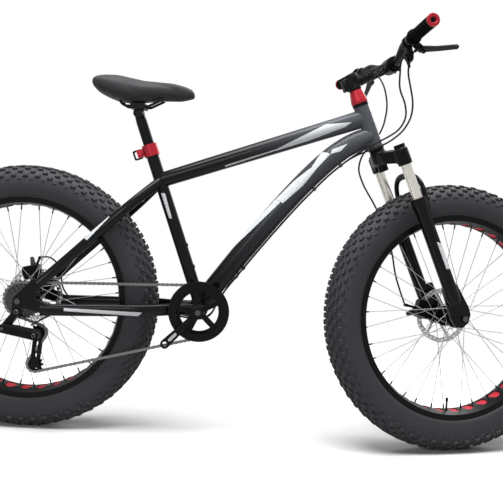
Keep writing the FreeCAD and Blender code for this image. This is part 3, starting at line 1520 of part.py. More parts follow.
def make_lever(label, side):
    """Lever blade in the plane of the bar, bored for its pivot pin."""
    build = Build(label + "_blade")
    drawing = build.sketch("XY", -s.lever_thickness / 2)
    root = s.lever_root / 2
    blade = s.lever_blade / 2
    reach = s.lever_reach - s.perch_reach
    draw_outline(drawing, [
        (0, -root, root, -1), (root * LEVER_ROOT_SHARE, -root),
        (s.lever_length * LEVER_BEND_SHARES[0], reach * LEVER_REACH_SHARE - blade),
        (s.lever_length, reach - blade), (s.lever_length, reach + blade, blade, -1),
        (s.lever_length * LEVER_BEND_SHARES[1], reach * LEVER_REACH_SHARE + blade), (root, root), (0, root)])
    draw_circle(drawing, 0, 0, s.lever_pivot_radius + s.running_gap)
    build.pad(drawing, s.lever_thickness)
    pivot = STEER.multiply(control_frame(s.perch_out, side, s.lever_drop_angle)).multiply(
        Placement(vec(0, s.perch_reach, 0), Rotation()))
    keep(build.body, label, pivot)
    return pivot


right_lever_frame = make_lever("brake_lever_right", -1)
left_lever_frame = make_lever("brake_lever_left", 1)

shifter_frame = STEER.multiply(control_frame(s.shifter_out, -1, s.shifter_drop_angle))
shifter_ring = Part.makeCylinder(float(s.bar_radius + s.perch_wall), float(s.shifter_ring_width),
                                 vec(-s.shifter_ring_width / 2, 0, 0), X_AXIS)
shifter_neck = Part.makeBox(float(s.shifter_ring_width), float(s.shifter_drop), float(s.shifter_thickness),
                            vec(-s.shifter_ring_width / 2, 0, -s.shifter_thickness / 2))
shifter_pod = Part.makeCylinder(float(s.shifter_radius), float(s.shifter_thickness),
                                vec(-s.shifter_radius / 2, s.shifter_drop, -s.shifter_thickness / 2))
pod_rims = [edge for edge in shifter_pod.Edges if edge.Length > s.shifter_radius.value * 3]
shifter_pod = shifter_pod.makeFillet(float(s.shifter_thickness * POD_CORNER_SHARE), pod_rims)
shifter_barrel = Part.makeCylinder(float(s.barrel_radius_cable), float(s.barrel_length * POD_BARREL_SHARE),
                                   vec(-s.shifter_radius * POD_BACK_SHARE - s.barrel_length,
                                       s.shifter_drop * POD_DROP_SHARE, 0), X_AXIS)
thumb_spot = (s.shifter_radius / -2, s.shifter_drop, s.shifter_thickness / -2)
shifter_pin = Part.makeCylinder(float(s.thumb_pin_radius), float(s.thumb_thickness + s.part_gap * 2),
                                vec(*thumb_spot), Z_AXIS * -1)
shifter_hole = Part.makeCylinder(float(s.bar_radius), float(s.shifter_ring_width * 3),
                                 vec(s.shifter_ring_width * -CUTTER_SHARE, 0, 0), X_AXIS)
shifter_solid = shifter_ring.fuse([shifter_neck, shifter_pod, shifter_barrel, shifter_pin]).cut(shifter_hole)
keep(feature("shifter_pod", shifter_solid), "shifter_body", shifter_frame)
thumb = Build("thumb_paddle")
thumb_drawing = thumb.sketch("XY", -s.thumb_thickness)
thumb_root = s.thumb_pin_radius * 2
draw_outline(thumb_drawing, [
    (-thumb_root, 0), (thumb_root, 0, thumb_root, -1), (s.thumb_width / 2, s.thumb_length),
    (s.thumb_width / -2, s.thumb_length, s.thumb_width / 2, -1)])
draw_circle(thumb_drawing, 0, 0, s.thumb_pin_radius + s.running_gap)
thumb.pad(thumb_drawing, s.thumb_thickness)
thumb_place = vec(thumb_spot[0], thumb_spot[1], thumb_spot[2] - s.part_gap)
thumb_frame = shifter_frame.multiply(Placement(thumb_place, Rotation(Z_AXIS, -25)))
keep(thumb.body, "shifter_lever", thumb_frame)

# Seat clamp and seat post

collar_bore = s.seat_tube_radius + s.running_gap
collar_radius = s.seat_tube_radius + s.collar_wall
lug_foot = s.collar_foot + (s.collar_height - s.collar_lug_height) / 2
skewer_z = s.collar_foot + s.collar_height / 2
collar = join("collar_band", cylinder("collar_rod", collar_radius, s.collar_height, (0, 0, s.collar_foot)),
              block("collar_lug", -collar_radius - s.collar_lug_length, -s.seat_tube_radius,
                    -s.collar_lug_half, s.collar_lug_half, lug_foot, lug_foot + s.collar_lug_height))
collar_holes = join("collar_holes", cylinder("collar_hole", collar_bore, s.collar_height,
                                             (0, 0, s.collar_foot)),
                    cylinder("skewer_hole", s.skewer_radius, s.collar_lug_half * 2,
                             (-s.skewer_back, -s.collar_lug_half, skewer_z), ALONG_Y))
lever_swing_share = 0.72
skewer_end = s.collar_lug_half + s.part_gap + s.clamp_lever_thickness * lever_swing_share
skewer = cylinder("skewer_rod", s.skewer_radius, s.collar_lug_half * 2 + s.part_gap,
                  (-s.skewer_back, -s.collar_lug_half, skewer_z), ALONG_Y)
skewer_nut = cylinder("skewer_nut", s.skewer_nut_radius, s.skewer_nut_height,
                      (-s.skewer_back, -s.collar_lug_half - s.skewer_nut_height, skewer_z), ALONG_Y)
keep(group("seat_clamp_set", cut("collar_cut", collar, collar_holes), skewer, skewer_nut), "seat_clamp", SEAT)

clamp_lever = Build("clamp_loop")
loop_drawing = clamp_lever.sketch("XZ", -s.clamp_lever_thickness / 2)
loop_half = s.clamp_lever_height / 2
loop_band = s.clamp_lever_band
draw_outline(loop_drawing, rounded_rectangle(-s.clamp_lever_length, s.clamp_lever_thickness / 2, -loop_half,
                                             loop_half,
                                             loop_band))
draw_outline(loop_drawing, rounded_rectangle(loop_band - s.clamp_lever_length, -loop_band,
                                             loop_band - loop_half,
                                             loop_half - loop_band, loop_band / 2), "w")
clamp_lever.pad(loop_drawing, s.clamp_lever_thickness)
clamp_lever_frame = SEAT.multiply(Placement(vec(-s.skewer_back, skewer_end, skewer_z), Rotation()))
keep(clamp_lever.body, "seat_clamp_lever", clamp_lever_frame)

post_foot = s.collar_foot + s.collar_height - s.post_sunk
post_top = s.post_head - s.post_neck


def post_parts():
    """Post with its head, the two clamp plates on the rails and the clamp bolt, in the saddle's frame."""
    foot = SEAT.multVec(vec(0, 0, post_foot)) - SADDLE.Base
    top = SEAT.multVec(vec(0, 0, post_top)) - SADDLE.Base
    plate_foot = s.rail_height - s.rail_clamp_height
    post = rod(foot, top, s.post_radius)
    neck = Part.makeLoft([
        Part.Wire([Part.Circle(top, seat_up, float(s.post_radius)).toShape()]),
        Part.Wire([Part.Circle(vec(0, 0, 0), seat_up, float(s.post_head_radius)).toShape()])], True)
    head = Part.makeCylinder(float(s.post_head_radius), float(s.post_head_half * 2),
                             vec(0, -s.post_head_half, 0), Y_AXIS)
    bore = rod(foot, foot + seat_up * float(post_top - post_foot - s.post_neck), s.post_radius - s.post_wall)
    long = s.rail_clamp_length / 2
    plates_out = []
    for foot_z in (plate_foot, s.rail_height):
        plates_out.append(Part.makeBox(float(long * 2), float(s.rail_clamp_half * 2),
                                       float(s.rail_clamp_height),
                                       vec(-long, -s.rail_clamp_half, foot_z)))
    bolt_top = s.rail_height + s.rail_clamp_height
    bolt = Part.makeCylinder(float(s.rail_bolt_radius), float(s.rail_clamp_height * 2), vec(0, 0, plate_foot))
    bolt_head = Part.makeCylinder(float(s.rail_bolt_radius * 2), float(s.rail_bolt_radius),
                                  vec(0, 0, bolt_top))
    rails_room = [Part.makeCylinder(float(s.rail_radius), float(long * 4),
                                    vec(long * -2, s.rail_half * side,
                                        s.rail_height), X_AXIS) for side in (1, -1)]
    body = post.fuse([neck, head]).cut(bore).cut(plates_out)
    body = max(body.Solids, key=lambda piece: piece.Volume)
    return [body] + [plate.cut(rails_room + [bolt]) for plate in plates_out] + [bolt.fuse(bolt_head)]


keep(feature("post_set", Part.makeCompound(post_parts())), "seat_post", SADDLE)

# Saddle

front = s.saddle_length - s.saddle_back
saddle_x_shares = (-0.44, -0.4, -0.3, -0.18, 0, 0.2, 0.4, 0.5, 0.55)
saddle_wide_shares = (0.5, 0.86, 1, 0.94, 0.64, 0.4, 0.32, 0.28, 0.18)
saddle_top_shares = (0.86, 0.95, 0.995, 0.95, 0.835, 0.8, 0.775, 0.7, 0.58)
saddle_foot_shares = (0.75, 0.68, 0.58, 0.5, 0.42, 0.41, 0.42, 0.435, 0.46)


def saddle_section(x, wide, top, foot, drawn_in_share):
    """Crowned section: flat foot, sides that pull in below, and an arched top."""
    shoulder = foot + (top - foot) * SADDLE_SHOULDER_SHARE
    middle = foot + (top - foot) * SADDLE_MIDDLE_SHARE
    half = wide / 2
    low = half * drawn_in_share
    tuck = (1 - TUCK_SHARE + TUCK_SHARE * drawn_in_share) * TUCK_BULGE_SHARE
    edges = [
        Part.LineSegment(vec(x, -low, foot), vec(x, low, foot)),
        Part.Arc(vec(x, low, foot), vec(x, half * tuck, middle),
                 vec(x, half, shoulder)),
        Part.Arc(vec(x, half, shoulder), vec(x, 0, top), vec(x, -half, shoulder)),
        Part.Arc(vec(x, -half, shoulder), vec(x, -half * tuck, middle),
                 vec(x, -low, foot))]
    return Part.Wire([edge.toShape() for edge in edges])


def saddle_stations():
    return zip([s.saddle_length.value * share for share in saddle_x_shares],
               [s.saddle_width.value * share for share in saddle_wide_shares],
               [s.saddle_height.value * share for share in saddle_top_shares],
               [s.saddle_height.value * share for share in saddle_foot_shares])


pad_sections = [saddle_section(x, wide, top, foot, PAD_FOOT_SHARE)
                for x, wide, top, foot in saddle_stations()]
saddle_pad = Part.makeLoft(pad_sections, True, False)
keep(feature("pad_loft", saddle_pad), "saddle_pad", SADDLE)

base_gap = s.part_gap.value
base_thick = s.saddle_base_thickness.value
base_sections = []
for x, wide, top, foot in list(saddle_stations())[:-1]:
    half = wide * BASE_WIDTH_SHARE
    spots = [vec(x, -half, foot - base_gap), vec(x, half, foot - base_gap),
             vec(x, half * BASE_TAPER_SHARE, foot - base_gap - base_thick),
             vec(x, half * -BASE_TAPER_SHARE, foot - base_gap - base_thick)]
    base_sections.append(Part.makePolygon(spots + spots[:1]))
saddle_base = Part.makeLoft(base_sections, True, True).cut(saddle_pad)

rail_x_shares = (-0.2, -0.145, 0.1, 0.235)
rail_z_shares = (0.44, 0.175, 0.175, 0.365)
rail_solids = []
for side in (1, -1):
    rail_line = [vec(s.saddle_length * x, s.rail_half * side, s.saddle_height * z)
                 for x, z in zip(rail_x_shares, rail_z_shares)]
    rail_line[1].z = s.rail_height.value
    rail_line[2].z = s.rail_height.value
    rail_solids.append(pipe(rail_line, s.rail_radius, s.rail_bend_radius))
saddle_base = saddle_base.cut(rail_solids)
saddle_base = max(saddle_base.Solids, key=lambda solid: solid.Volume)
keep(feature("base_loft", saddle_base), "saddle_base", SADDLE)
keep(feature("rail_pair", Part.makeCompound([rail.cut(saddle_pad) for rail in rail_solids])),
     "saddle_rails", SADDLE)

# Bottom bracket and crank set

cartridge_end = s.shell_half + s.cartridge_flange
spindle_bore = s.spindle_radius + s.running_gap
keep(turned("cartridge_turn", [
    (-cartridge_end, spindle_bore), (-cartridge_end, s.cartridge_flange_radius),
    (-s.shell_half, s.cartridge_flange_radius), (-s.shell_half, s.shell_bore), (s.shell_half, s.shell_bore),
    (s.shell_half, s.cartridge_flange_radius), (cartridge_end, s.cartridge_flange_radius),
    (cartridge_end, spindle_bore)]).body, "bottom_bracket", BRACKET)

spindle = cylinder("spindle_rod", s.spindle_radius, s.spindle_half * 2, (0, -s.spindle_half, 0), ALONG_Y)
crank_outer = s.crank_inner + s.crank_thickness
bolts = [cylinder("crank_bolt", s.crank_bolt_radius, s.crank_bolt_height, (0, y, 0), ALONG_Y)
         for y in (s.spindle_half, -s.spindle_half - s.crank_bolt_height)]
keep(group("spindle_set", spindle, *bolts), "crank_spindle", CRANK)

ring_face = s.chain_line + s.ring_thickness / 2
guard_face = ring_face + s.spider_thickness


def crank_arm(name, side):
    """Arm from the spindle boss to the pedal eye, drawn pointing along +X on the right and -X on the left."""
    build = Build(name)
    outer_y = crank_outer if side > 0 else -s.crank_inner
    drawing = build.sketch("XZ", -outer_y)
    boss = s.crank_boss_radius
    end = s.crank_end_radius
    waist = s.crank_waist / 2
    way = -1 if side > 0 else 1
    length = s.crank_length * way
    draw_outline(drawing, [
        (0, boss * -way, boss, -1), (s.crank_length * CRANK_WAIST_SHARE * way, -waist * way),
        (length, -end * way),
        (length, end * way, end, -1), (s.crank_length * CRANK_WAIST_SHARE * way, waist * way),
        (0, boss * way)])
    draw_circle(drawing, 0, 0, s.spindle_radius)
    draw_circle(drawing, length, 0, s.pedal_hole_radius, "e")
    build.pad(drawing, s.crank_thickness)
    return build.body


spider = Build("spider_star")
spider_drawing = spider.sketch("XZ", ring_face)
draw_circle(spider_drawing, 0, 0, s.crank_boss_radius + s.spider_thickness)
draw_circle(spider_drawing, 0, 0, s.spindle_radius, "b")
spider.pad(spider_drawing, s.spider_thickness)
arm_drawing = spider.sketch("XZ", ring_face)
draw_outline(arm_drawing, [
    (s.spider_arm / -2, s.crank_boss_radius), (s.spider_arm / 2, s.crank_boss_radius),
    (s.spider_arm / 2, s.spider_radius), (s.spider_arm / -2, s.spider_radius)])
spider_arm = spider.pad(arm_drawing, s.spider_thickness)
spider.around(spider_arm, "Y", SPIDER_ARM_COUNT)
boss_fill = cut("crank_boss", cylinder("crank_boss_rod", s.crank_boss_radius, s.crank_inner - guard_face,
                                       (0, -s.crank_inner, 0), ALONG_Y),
                cylinder("crank_boss_hole", s.spindle_radius, s.crank_inner - guard_face,
                         (0, -s.crank_inner, 0), ALONG_Y))
arm_right = crank_arm("crank_arm_right", -1)
arm_left = crank_arm("crank_arm_left", 1)
keep(group("crank_pair", join("crank_right", arm_right, boss_fill, spider.body), arm_left), "crank_arms",
     CRANK)


def flat_ring(name, radius, bore, face, thickness):
    """Flat ring on the drive side, from a face towards the frame outwards."""
    build = Build(name)
    drawing = build.sketch("XZ", face)
    draw_circle(drawing, 0, 0, radius)
    draw_circle(drawing, 0, 0, bore, "b")
    build.pad(drawing, thickness)
    return build.body


chain_inside = s.chain_half_height + s.tooth_clearance
ring_radius = s.ring_pitch_radius - chain_inside
keep(flat_ring("chainring_disc", ring_radius, ring_radius - s.ring_band, ring_face - s.ring_thickness,
               s.ring_thickness), "chainring", CRANK)
keep(flat_ring("guard_disc", s.guard_radius, s.guard_bore, guard_face, s.guard_thickness), "chain_guard",
     CRANK)

# Cassette, pulleys and chain

cog_points = []
cog_first = s.chain_line - s.cog_spacing * CHAIN_COG
core = s.cog_core_radius
for number in range(COG_COUNT):
    middle = -(cog_first + s.cog_spacing * number)
    radius = s.cog_pitch_radius - s.cog_step * COG_STEP_SHARE * (number - CHAIN_COG) - chain_inside
    cog_points += [(middle + s.cog_thickness / 2, core), (middle + s.cog_thickness / 2, radius),
                   (middle - s.cog_thickness / 2, radius), (middle - s.cog_thickness / 2, core)]
hub_fit = s.hub_end_radius + s.running_gap
cassette_start = -cog_first + s.cog_thickness / 2
cassette_end = -(cog_first + s.cog_spacing * (COG_COUNT - 1)) - s.cog_thickness / 2
cassette_points = [(cassette_start, hub_fit)] + cog_points + [(cassette_end, hub_fit)]
keep(turned("cassette_turn", cassette_points).body, "cassette", REAR)

guide_spot = vec(s.guide_x, 0, s.tyre_radius - s.guide_drop)
tension_spot = vec(s.tension_x, 0, s.tyre_radius - s.tension_drop)
pulley_radius = s.pulley_pitch_radius - chain_inside
for label, spot in (("guide_pulley", guide_spot), ("tension_pulley", tension_spot)):
    half = s.pulley_thickness / 2
    hole = s.pulley_bore + s.running_gap
    wheel = turned(label + "_turn", [
        (-half, hole), (-half, pulley_radius), (half, pulley_radius), (half, hole)])
    keep(wheel.body, label, Placement(spot - Y_AXIS * s.chain_line.value, Rotation()))


def chain_loop(offset):
    """Closed chain line round the sprockets, moved sideways by an offset, with turns as seen from the right."""
    side = Y_AXIS * float(-s.chain_line - s.chain_width / 2)
    stops = [(side + vec(0, 0, s.tyre_radius), -float(s.cog_pitch_radius)),
             (side + bracket_point, -float(s.ring_pitch_radius)),
             (side + tension_spot, -float(s.pulley_pitch_radius)),
             (side + guide_spot, float(s.pulley_pitch_radius))]
    contacts = []
    for index, (centre, radius) in enumerate(stops):
        next_centre, next_radius = stops[(index + 1) % len(stops)]
        way = next_centre - centre
        heading = math.atan2(way.z, way.x) + math.asin((radius - next_radius) / way.Length)
        right = Vector(math.sin(heading), 0, -math.cos(heading))
        contacts.append((centre + right * (radius + offset), next_centre + right * (next_radius + offset)))
    edges = []
    for index, (leave, arrive) in enumerate(contacts):
        edges.append(Part.LineSegment(leave, arrive).toShape())
        centre, radius = stops[(index + 1) % len(stops)]
        depart = contacts[(index + 1) % len(contacts)][0]
        middle = ((arrive - centre) + (depart - centre)).normalize() * abs(radius + offset)
        if index == 0 or abs(radius) > float(s.pulley_pitch_radius) + 1:
            if (arrive - centre).cross(depart - centre).y * (1 if radius < 0 else -1) < 0:
                middle = middle * -1
        edges.append(Part.Arc(arrive, centre + middle, depart).toShape())
    return Part.Wire(edges)


def chain_solid():
    high = float(s.chain_half_height)
    outer = Part.Face(chain_loop(-high)).extrude(Y_AXIS * float(s.chain_width))
    inner = Part.Face(chain_loop(high)).extrude(Y_AXIS * float(s.chain_width))
    return outer.cut(inner)


keep(feature("chain_band", chain_solid()), "chain", BIKE)

# Derailleur


def cage_plate(y):
    """Flat side of the cage, round both pulley axles."""
    way = (tension_spot - guide_spot).normalize()
    across = Vector(-way.z, 0, way.x) * float(s.cage_width / 2)
    half = float(s.cage_width / 2)
    edges = [
        Part.LineSegment(guide_spot + across, tension_spot + across),
        Part.Arc(tension_spot + across, tension_spot + way * half, tension_spot - across),
        Part.LineSegment(tension_spot - across, guide_spot - across),
        Part.Arc(guide_spot - across, guide_spot - way * half, guide_spot + across)]
    face = Part.Face(Part.Wire([edge.toShape() for edge in edges]))
    plate = face.extrude(Y_AXIS * float(s.cage_thickness))
    plate.translate(Y_AXIS * float(y))
    return plate


cage_outer = -s.chain_line - s.cage_half - s.cage_thickness
cage = cage_plate(cage_outer).fuse(cage_plate(-s.chain_line + s.cage_half))
for spot in (guide_spot, tension_spot):
    cage = cage.fuse(rod(spot + Y_AXIS * float(cage_outer),
                         spot + Y_AXIS * float(-s.chain_line + s.cage_half),
                         s.pulley_bore))
keep(feature("cage_plates", cage.removeSplitter()), "derailleur_cage", BIKE)


def derailleur_shape():
    """Knuckle on the hanger, swung arm and the knuckle that carries the cage."""
    face = float(-s.rear_hub_half - s.dropout_thickness)
    bolt = vec(s.hanger_x, 0, s.tyre_radius - s.hanger_drop)
    knuckle = Part.makeCylinder(float(s.knuckle_radius), float(s.knuckle_height),
                                bolt + Y_AXIS * (face - float(s.knuckle_height)), Y_AXIS)
    top = float(cage_outer - s.part_gap)
    pivot = Part.makeCylinder(float(s.cage_knuckle_radius), float(s.cage_knuckle_height),
                              guide_spot + Y_AXIS * (top - float(s.cage_knuckle_height)), Y_AXIS)
    back = vec(s.link_back_x, face - s.knuckle_height.value * HANGER_ARM_SHARE,
               s.tyre_radius - s.link_back_drop)
    high = float(s.link_height / 2)
    bend = (bolt + back + Y_AXIS * (face - s.knuckle_height.value / 2)) * 0.5
    arm_one = loft_along([bolt + Y_AXIS * (face - s.knuckle_height.value / 2), bend, back], Y_AXIS,
                         s.link_half * ARM_ONE_SHARES[0], [high * share for share in ARM_ONE_SHARES])
    near = guide_spot + Y_AXIS * (top - float(s.cage_knuckle_height) / 2)
    middle = (back + near) * 0.5
    arm_two = loft_along([back - (near - back) * ARM_OVERLAP_SHARE, middle, near], Y_AXIS,
                         s.link_half * ARM_TWO_SHARES[2],
                         [high * share for share in ARM_TWO_SHARES])
    return knuckle.fuse([pivot, arm_one, arm_two]).removeSplitter()


keep(feature("derailleur_arm", derailleur_shape()), "derailleur_body", BIKE)

# Cables: routes from the levers to the brakes and the derailleur, held by the bike all the way


def lever_barrel(side):
    spot = vec(-s.perch_arm * BARREL_BACK_SHARE - s.barrel_length - s.part_gap,
               s.perch_reach * BARREL_REACH_SHARE, 0)
    frame = STEER.multiply(control_frame(s.perch_out, side, s.lever_drop_angle))
    return frame.multVec(spot), frame.Rotation.multVec(X_AXIS * -1)


def make_cable(label, points):
    keep(feature(label + "_tube", pipe(points, s.cable_radius, None, label)), label, BIKE)


right_start, right_in = lever_barrel(-1)
left_start, left_in = lever_barrel(1)
shift_start = shifter_frame.multVec(
    vec(-s.shifter_radius * POD_BACK_SHARE - s.barrel_length - s.part_gap, s.shifter_drop * POD_DROP_SHARE,
        0))
lead = s.barrel_length.value

make_cable("rear_brake_cable", [
    right_start, right_start + right_in * lead, on_steer(126, -78, 668), on_steer(121, -74, 625),
    on_steer(113, -74, 583), on_steer(98, -66, 548), on_steer(66, -56, 520), on_steer(20, -48, 506),
    on_steer(-20, -42, 504)]
    + under_tube(1) + [
    Vector(520, 8, 334), Vector(455, 32, 334), Vector(409, 44, 340), Vector(345, 65, 338), Vector(300, 70,
                                                                                                  336),
    Vector(220, 75, 334), Vector(150, 80, 330), Vector(106, 97, 340), Vector(64, 97, 392), Vector(66, 97,
                                                                                                  448),
    rear_cable_end + rear_pull * lead, rear_cable_end])
make_cable("shift_cable", [
    shift_start, shift_start + right_in * lead, on_steer(96, -58, 632), on_steer(100, -56, 590),
    on_steer(90, -54, 552), on_steer(60, -48, 527), on_steer(18, -42, 519), on_steer(-20, -36, 516)]
    + under_tube(-1) + [
    Vector(520, -8, 334), Vector(455, -18, 338), Vector(409, -30, 350), Vector(345, -53, 352),
    Vector(300, -57, 351), Vector(150, -68, 347), Vector(100, -71, 344), Vector(66, -77, 326),
    Vector(36, -84, 308)])
make_cable("front_brake_cable", [
    left_start, left_start + left_in * lead, on_steer(124, 76, 664), on_steer(108, 66, 606),
    on_steer(66, 58, 548), on_steer(12, 52, 516), on_steer(-24, 50, 500), on_steer(-46, 62, 466),
    on_steer(-44, 70, 418), on_steer(-26, 74, 331), on_steer(-26, 74, 215), on_steer(-44, 73, 140),
    front_cable_end + front_pull * lead, front_cable_end])

# Every part is checked, moved to the shared origin and written


doc.recompute()
for thing in doc.Objects:
    if "Invalid" in thing.State or "Error" in thing.State:
        raise ValueError("%s failed" % thing.Label)
whole = FreeCAD.BoundBox()
for label, thing in pieces.items():
    if thing.Shape.isNull() or not thing.Shape.isValid():
        raise ValueError("%s has no valid shape" % label)
    whole.add(thing.Shape.optimalBoundingBox())
shift = Vector(-(whole.XMin + whole.XMax) / 2, -(whole.YMin + whole.YMax) / 2, -whole.ZMin)
for thing in pieces.values():
    thing.Placement = Placement(shift, Rotation()).multiply(thing.Placement)
doc.recompute()

os.makedirs("parts", exist_ok=True)
for label, thing in pieces.items():
    thing.Shape.exportStep("parts/%s.step" % label)
print("%d parts, box %.1f x %.1f x %.1f" % (len(pieces), whole.XLength, whole.YLength, whole.ZLength))
key_frames = {
    "rear_axle": REAR, "bracket": BRACKET, "crank": CRANK, "seat": SEAT, "steer": STEER, "front_axle": FRONT,
    "right_lever": right_lever_frame, "left_lever": left_lever_frame, "thumb": thumb_frame,
    "dial": STEER.multiply(Placement(dial_spot, Rotation())), "clamp_lever": clamp_lever_frame,
    "front_arm": Placement(front_arm_pivot, STEER.Rotation), "rear_arm": Placement(rear_arm_pivot,
                                                                                   Rotation()),
    "guide_pulley": Placement(guide_spot, Rotation()), "tension_pulley": Placement(tension_spot, Rotation())}
for name, frame in key_frames.items():
    spot = frame.Base + shift
    across = frame.Rotation.multVec(Y_AXIS)
    up = frame.Rotation.multVec(Z_AXIS)
    print("%s at %.4f %.4f %.4f, Y axis %.6f %.6f %.6f, Z axis %.6f %.6f %.6f" % (
        name, spot.x, spot.y, spot.z, across.x, across.y, across.z, up.x, up.y, up.z))
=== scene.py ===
# %% [markdown]
# # Fat tire bike: the looks
# The imported CAD model is the frame of this scene. Each cell below adds one piece or one finish to it,
# in metres and in the same place as the CAD. The first cell loads the frame.

# %% Load the frame
import json
import math

import bpy
from mathutils import Matrix, Vector

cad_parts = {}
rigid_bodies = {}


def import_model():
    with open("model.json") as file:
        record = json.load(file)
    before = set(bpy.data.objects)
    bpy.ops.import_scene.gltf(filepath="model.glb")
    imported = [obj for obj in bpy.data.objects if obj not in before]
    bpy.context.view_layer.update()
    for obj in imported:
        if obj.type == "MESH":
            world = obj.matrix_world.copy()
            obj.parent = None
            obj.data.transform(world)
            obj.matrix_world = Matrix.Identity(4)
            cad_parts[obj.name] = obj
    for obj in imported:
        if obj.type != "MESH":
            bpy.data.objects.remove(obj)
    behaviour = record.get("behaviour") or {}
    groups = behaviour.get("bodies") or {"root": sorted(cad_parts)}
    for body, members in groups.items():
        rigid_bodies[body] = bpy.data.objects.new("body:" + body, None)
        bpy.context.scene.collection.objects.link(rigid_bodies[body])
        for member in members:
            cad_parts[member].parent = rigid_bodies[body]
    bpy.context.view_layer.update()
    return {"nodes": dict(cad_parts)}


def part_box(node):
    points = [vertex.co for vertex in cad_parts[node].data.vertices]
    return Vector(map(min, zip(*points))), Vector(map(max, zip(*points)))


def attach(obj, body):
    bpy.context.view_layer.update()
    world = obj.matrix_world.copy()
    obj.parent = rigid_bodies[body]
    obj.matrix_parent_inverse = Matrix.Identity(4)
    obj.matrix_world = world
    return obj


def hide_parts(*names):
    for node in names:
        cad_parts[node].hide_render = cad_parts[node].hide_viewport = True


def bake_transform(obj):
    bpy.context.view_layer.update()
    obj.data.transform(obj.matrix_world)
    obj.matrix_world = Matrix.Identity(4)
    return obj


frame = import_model()
nodes = frame["nodes"]

# %% [markdown]
# ## Small tools
# Modelling by hand is mostly selecting, editing and placing. These helpers do the selecting, so that
# each later cell can be read as a list of modelling steps. A piece is modelled at the origin and its
# place is then applied.

# %% Small tools
WELD_DISTANCE = 0.00002


def object_mode():
    """Out of edit mode, where an object is in it."""
    if bpy.context.object and bpy.context.object.mode != "OBJECT":
        bpy.ops.object.mode_set(mode="OBJECT")


def pick(*things):
    """Only these are selected, and the first is active."""
    object_mode()
    bpy.ops.object.select_all(action="DESELECT")
    for thing in things:
        thing.select_set(True)
    bpy.context.view_layer.objects.active = things[0]


def edit(thing):
    """Edit mode with the whole mesh selected."""
    pick(thing)
    bpy.ops.object.mode_set(mode="EDIT")
    bpy.ops.mesh.select_mode(type="VERT")
    bpy.ops.mesh.select_all(action="SELECT")


def weld(thing):
    """Merged doubles, faces outwards, back in object mode."""
    edit(thing)
    bpy.ops.mesh.remove_doubles(threshold=WELD_DISTANCE)
    bpy.ops.mesh.normals_make_consistent(inside=False)
    object_mode()
    return thing


def place(thing, matrix):
    """The matrix goes into the mesh, and the object stays at the origin."""
    thing.matrix_world = matrix
    pick(thing)
    bpy.ops.object.transform_apply(location=True, rotation=True, scale=True)
    return thing


def smooth(thing, degrees=35):
    """Smooth shading, apart from edges sharper than an angle."""
    pick(thing)
    bpy.ops.object.shade_smooth_by_angle(angle=math.radians(degrees))
    return thing


def duplicate(thing, name):
    """A copy with its own mesh."""
    pick(thing)
    bpy.ops.object.duplicate(linked=False)
    twin = bpy.context.object
    twin.name = name
    return twin


def fuse(name, things):
    """Several meshes as one object."""
    pick(*things)
    bpy.ops.object.join()
    thing = bpy.context.object
    thing.name = name
    return thing


def apply_modifier(thing, kind, **settings):
    """A modifier with its settings, applied at once."""
    pick(thing)
    modifier = thing.modifiers.new(kind.lower(), kind)
    for key, value in settings.items():
        setattr(modifier, key, value)
    bpy.ops.object.modifier_apply(modifier=modifier.name)


def remesh(thing, voxel):
    """The same shape in small even faces."""
    thing.data.remesh_voxel_size = voxel
    pick(thing)
    bpy.ops.object.voxel_remesh()


def axes(origin, y_way, z_way):
    """Matrix of a local frame from its origin and its Y and Z directions."""
    y_axis = Vector(y_way).normalized()
    z_axis = Vector(z_way).normalized()
    x_axis = y_axis.cross(z_axis)
    columns = Matrix((x_axis, y_axis, z_axis)).transposed().to_4x4()
    return Matrix.Translation(Vector(origin)) @ columns


def middle(node):
    """Middle of a CAD node's box."""
    low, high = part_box(node)
    return (Vector(low) + Vector(high)) / 2


print("tools ready")

# %% [markdown]
# ## Drawn shapes
# Many pieces start as a drawn line. A closed line of points is made as a curve and turned into a mesh,
# then spun about an axle or, when it is flat, filled and given a thickness as a punched plate.


# %% Drawn shapes
def curve_mesh(name, curve, outlines):
    """Mesh of a curve with closed, straight-sided outlines."""
    for outline in outlines:
        spline = curve.splines.new("POLY")
        spline.points.add(len(outline) - 1)
        for spot, point in zip(spline.points, outline):
            spot.co = (*point, 1)
        spline.use_cyclic_u = True
    thing = bpy.data.objects.new(name, curve)
    bpy.context.scene.collection.objects.link(thing)
    pick(thing)
    bpy.ops.object.convert(target="MESH")
    return bpy.context.object


def loop_mesh(name, points):
    """Closed ring of edges through points."""
    curve = bpy.data.curves.new(name, "CURVE")
    curve.dimensions = "3D"
    return curve_mesh(name, curve, [points])


def spun(name, profile, steps):
    """A closed profile of (radius, along) points turned about the Y axis."""
    thing = loop_mesh(name, [(radius, along, 0) for radius, along in profile])
    edit(thing)
    bpy.ops.mesh.spin(steps=steps, angle=math.tau, center=(0, 0, 0), axis=(0, 1, 0))
    return weld(thing)


def plate(name, outlines, thickness, bevel=0.0):
    """Flat plate in the XZ plane with its middle at Y 0; the outlines after the first are holes."""
    curve = bpy.data.curves.new(name, "CURVE")
    curve.dimensions = "2D"
    curve.fill_mode = "BOTH"
    curve.extrude = thickness / 2 - bevel
    curve.bevel_depth = bevel
    curve.bevel_resolution = 1
    curve.offset = -bevel
    flat = [[(x, z, 0) for x, z in outline] for outline in outlines]
    thing = curve_mesh(name, curve, flat)
    return weld(place(thing, Matrix.Rotation(math.radians(90), 4, "X")))


def circle(radius, count, x=0.0, z=0.0):
    """Points of a circle in the XZ plane."""
    turns = [math.tau * number / count for number in range(count)]
    return [(x + radius * math.cos(turn), z + radius * math.sin(turn)) for turn in turns]


print("drawing tools ready")

# %% [markdown]
# ## Where things are
# The rear axle is the middle of the rear rim, and the steered half of the bike leans with the head tube
# and is turned a little to the left, as in the photo. Lengths along the bike are counted from the rear
# axle.

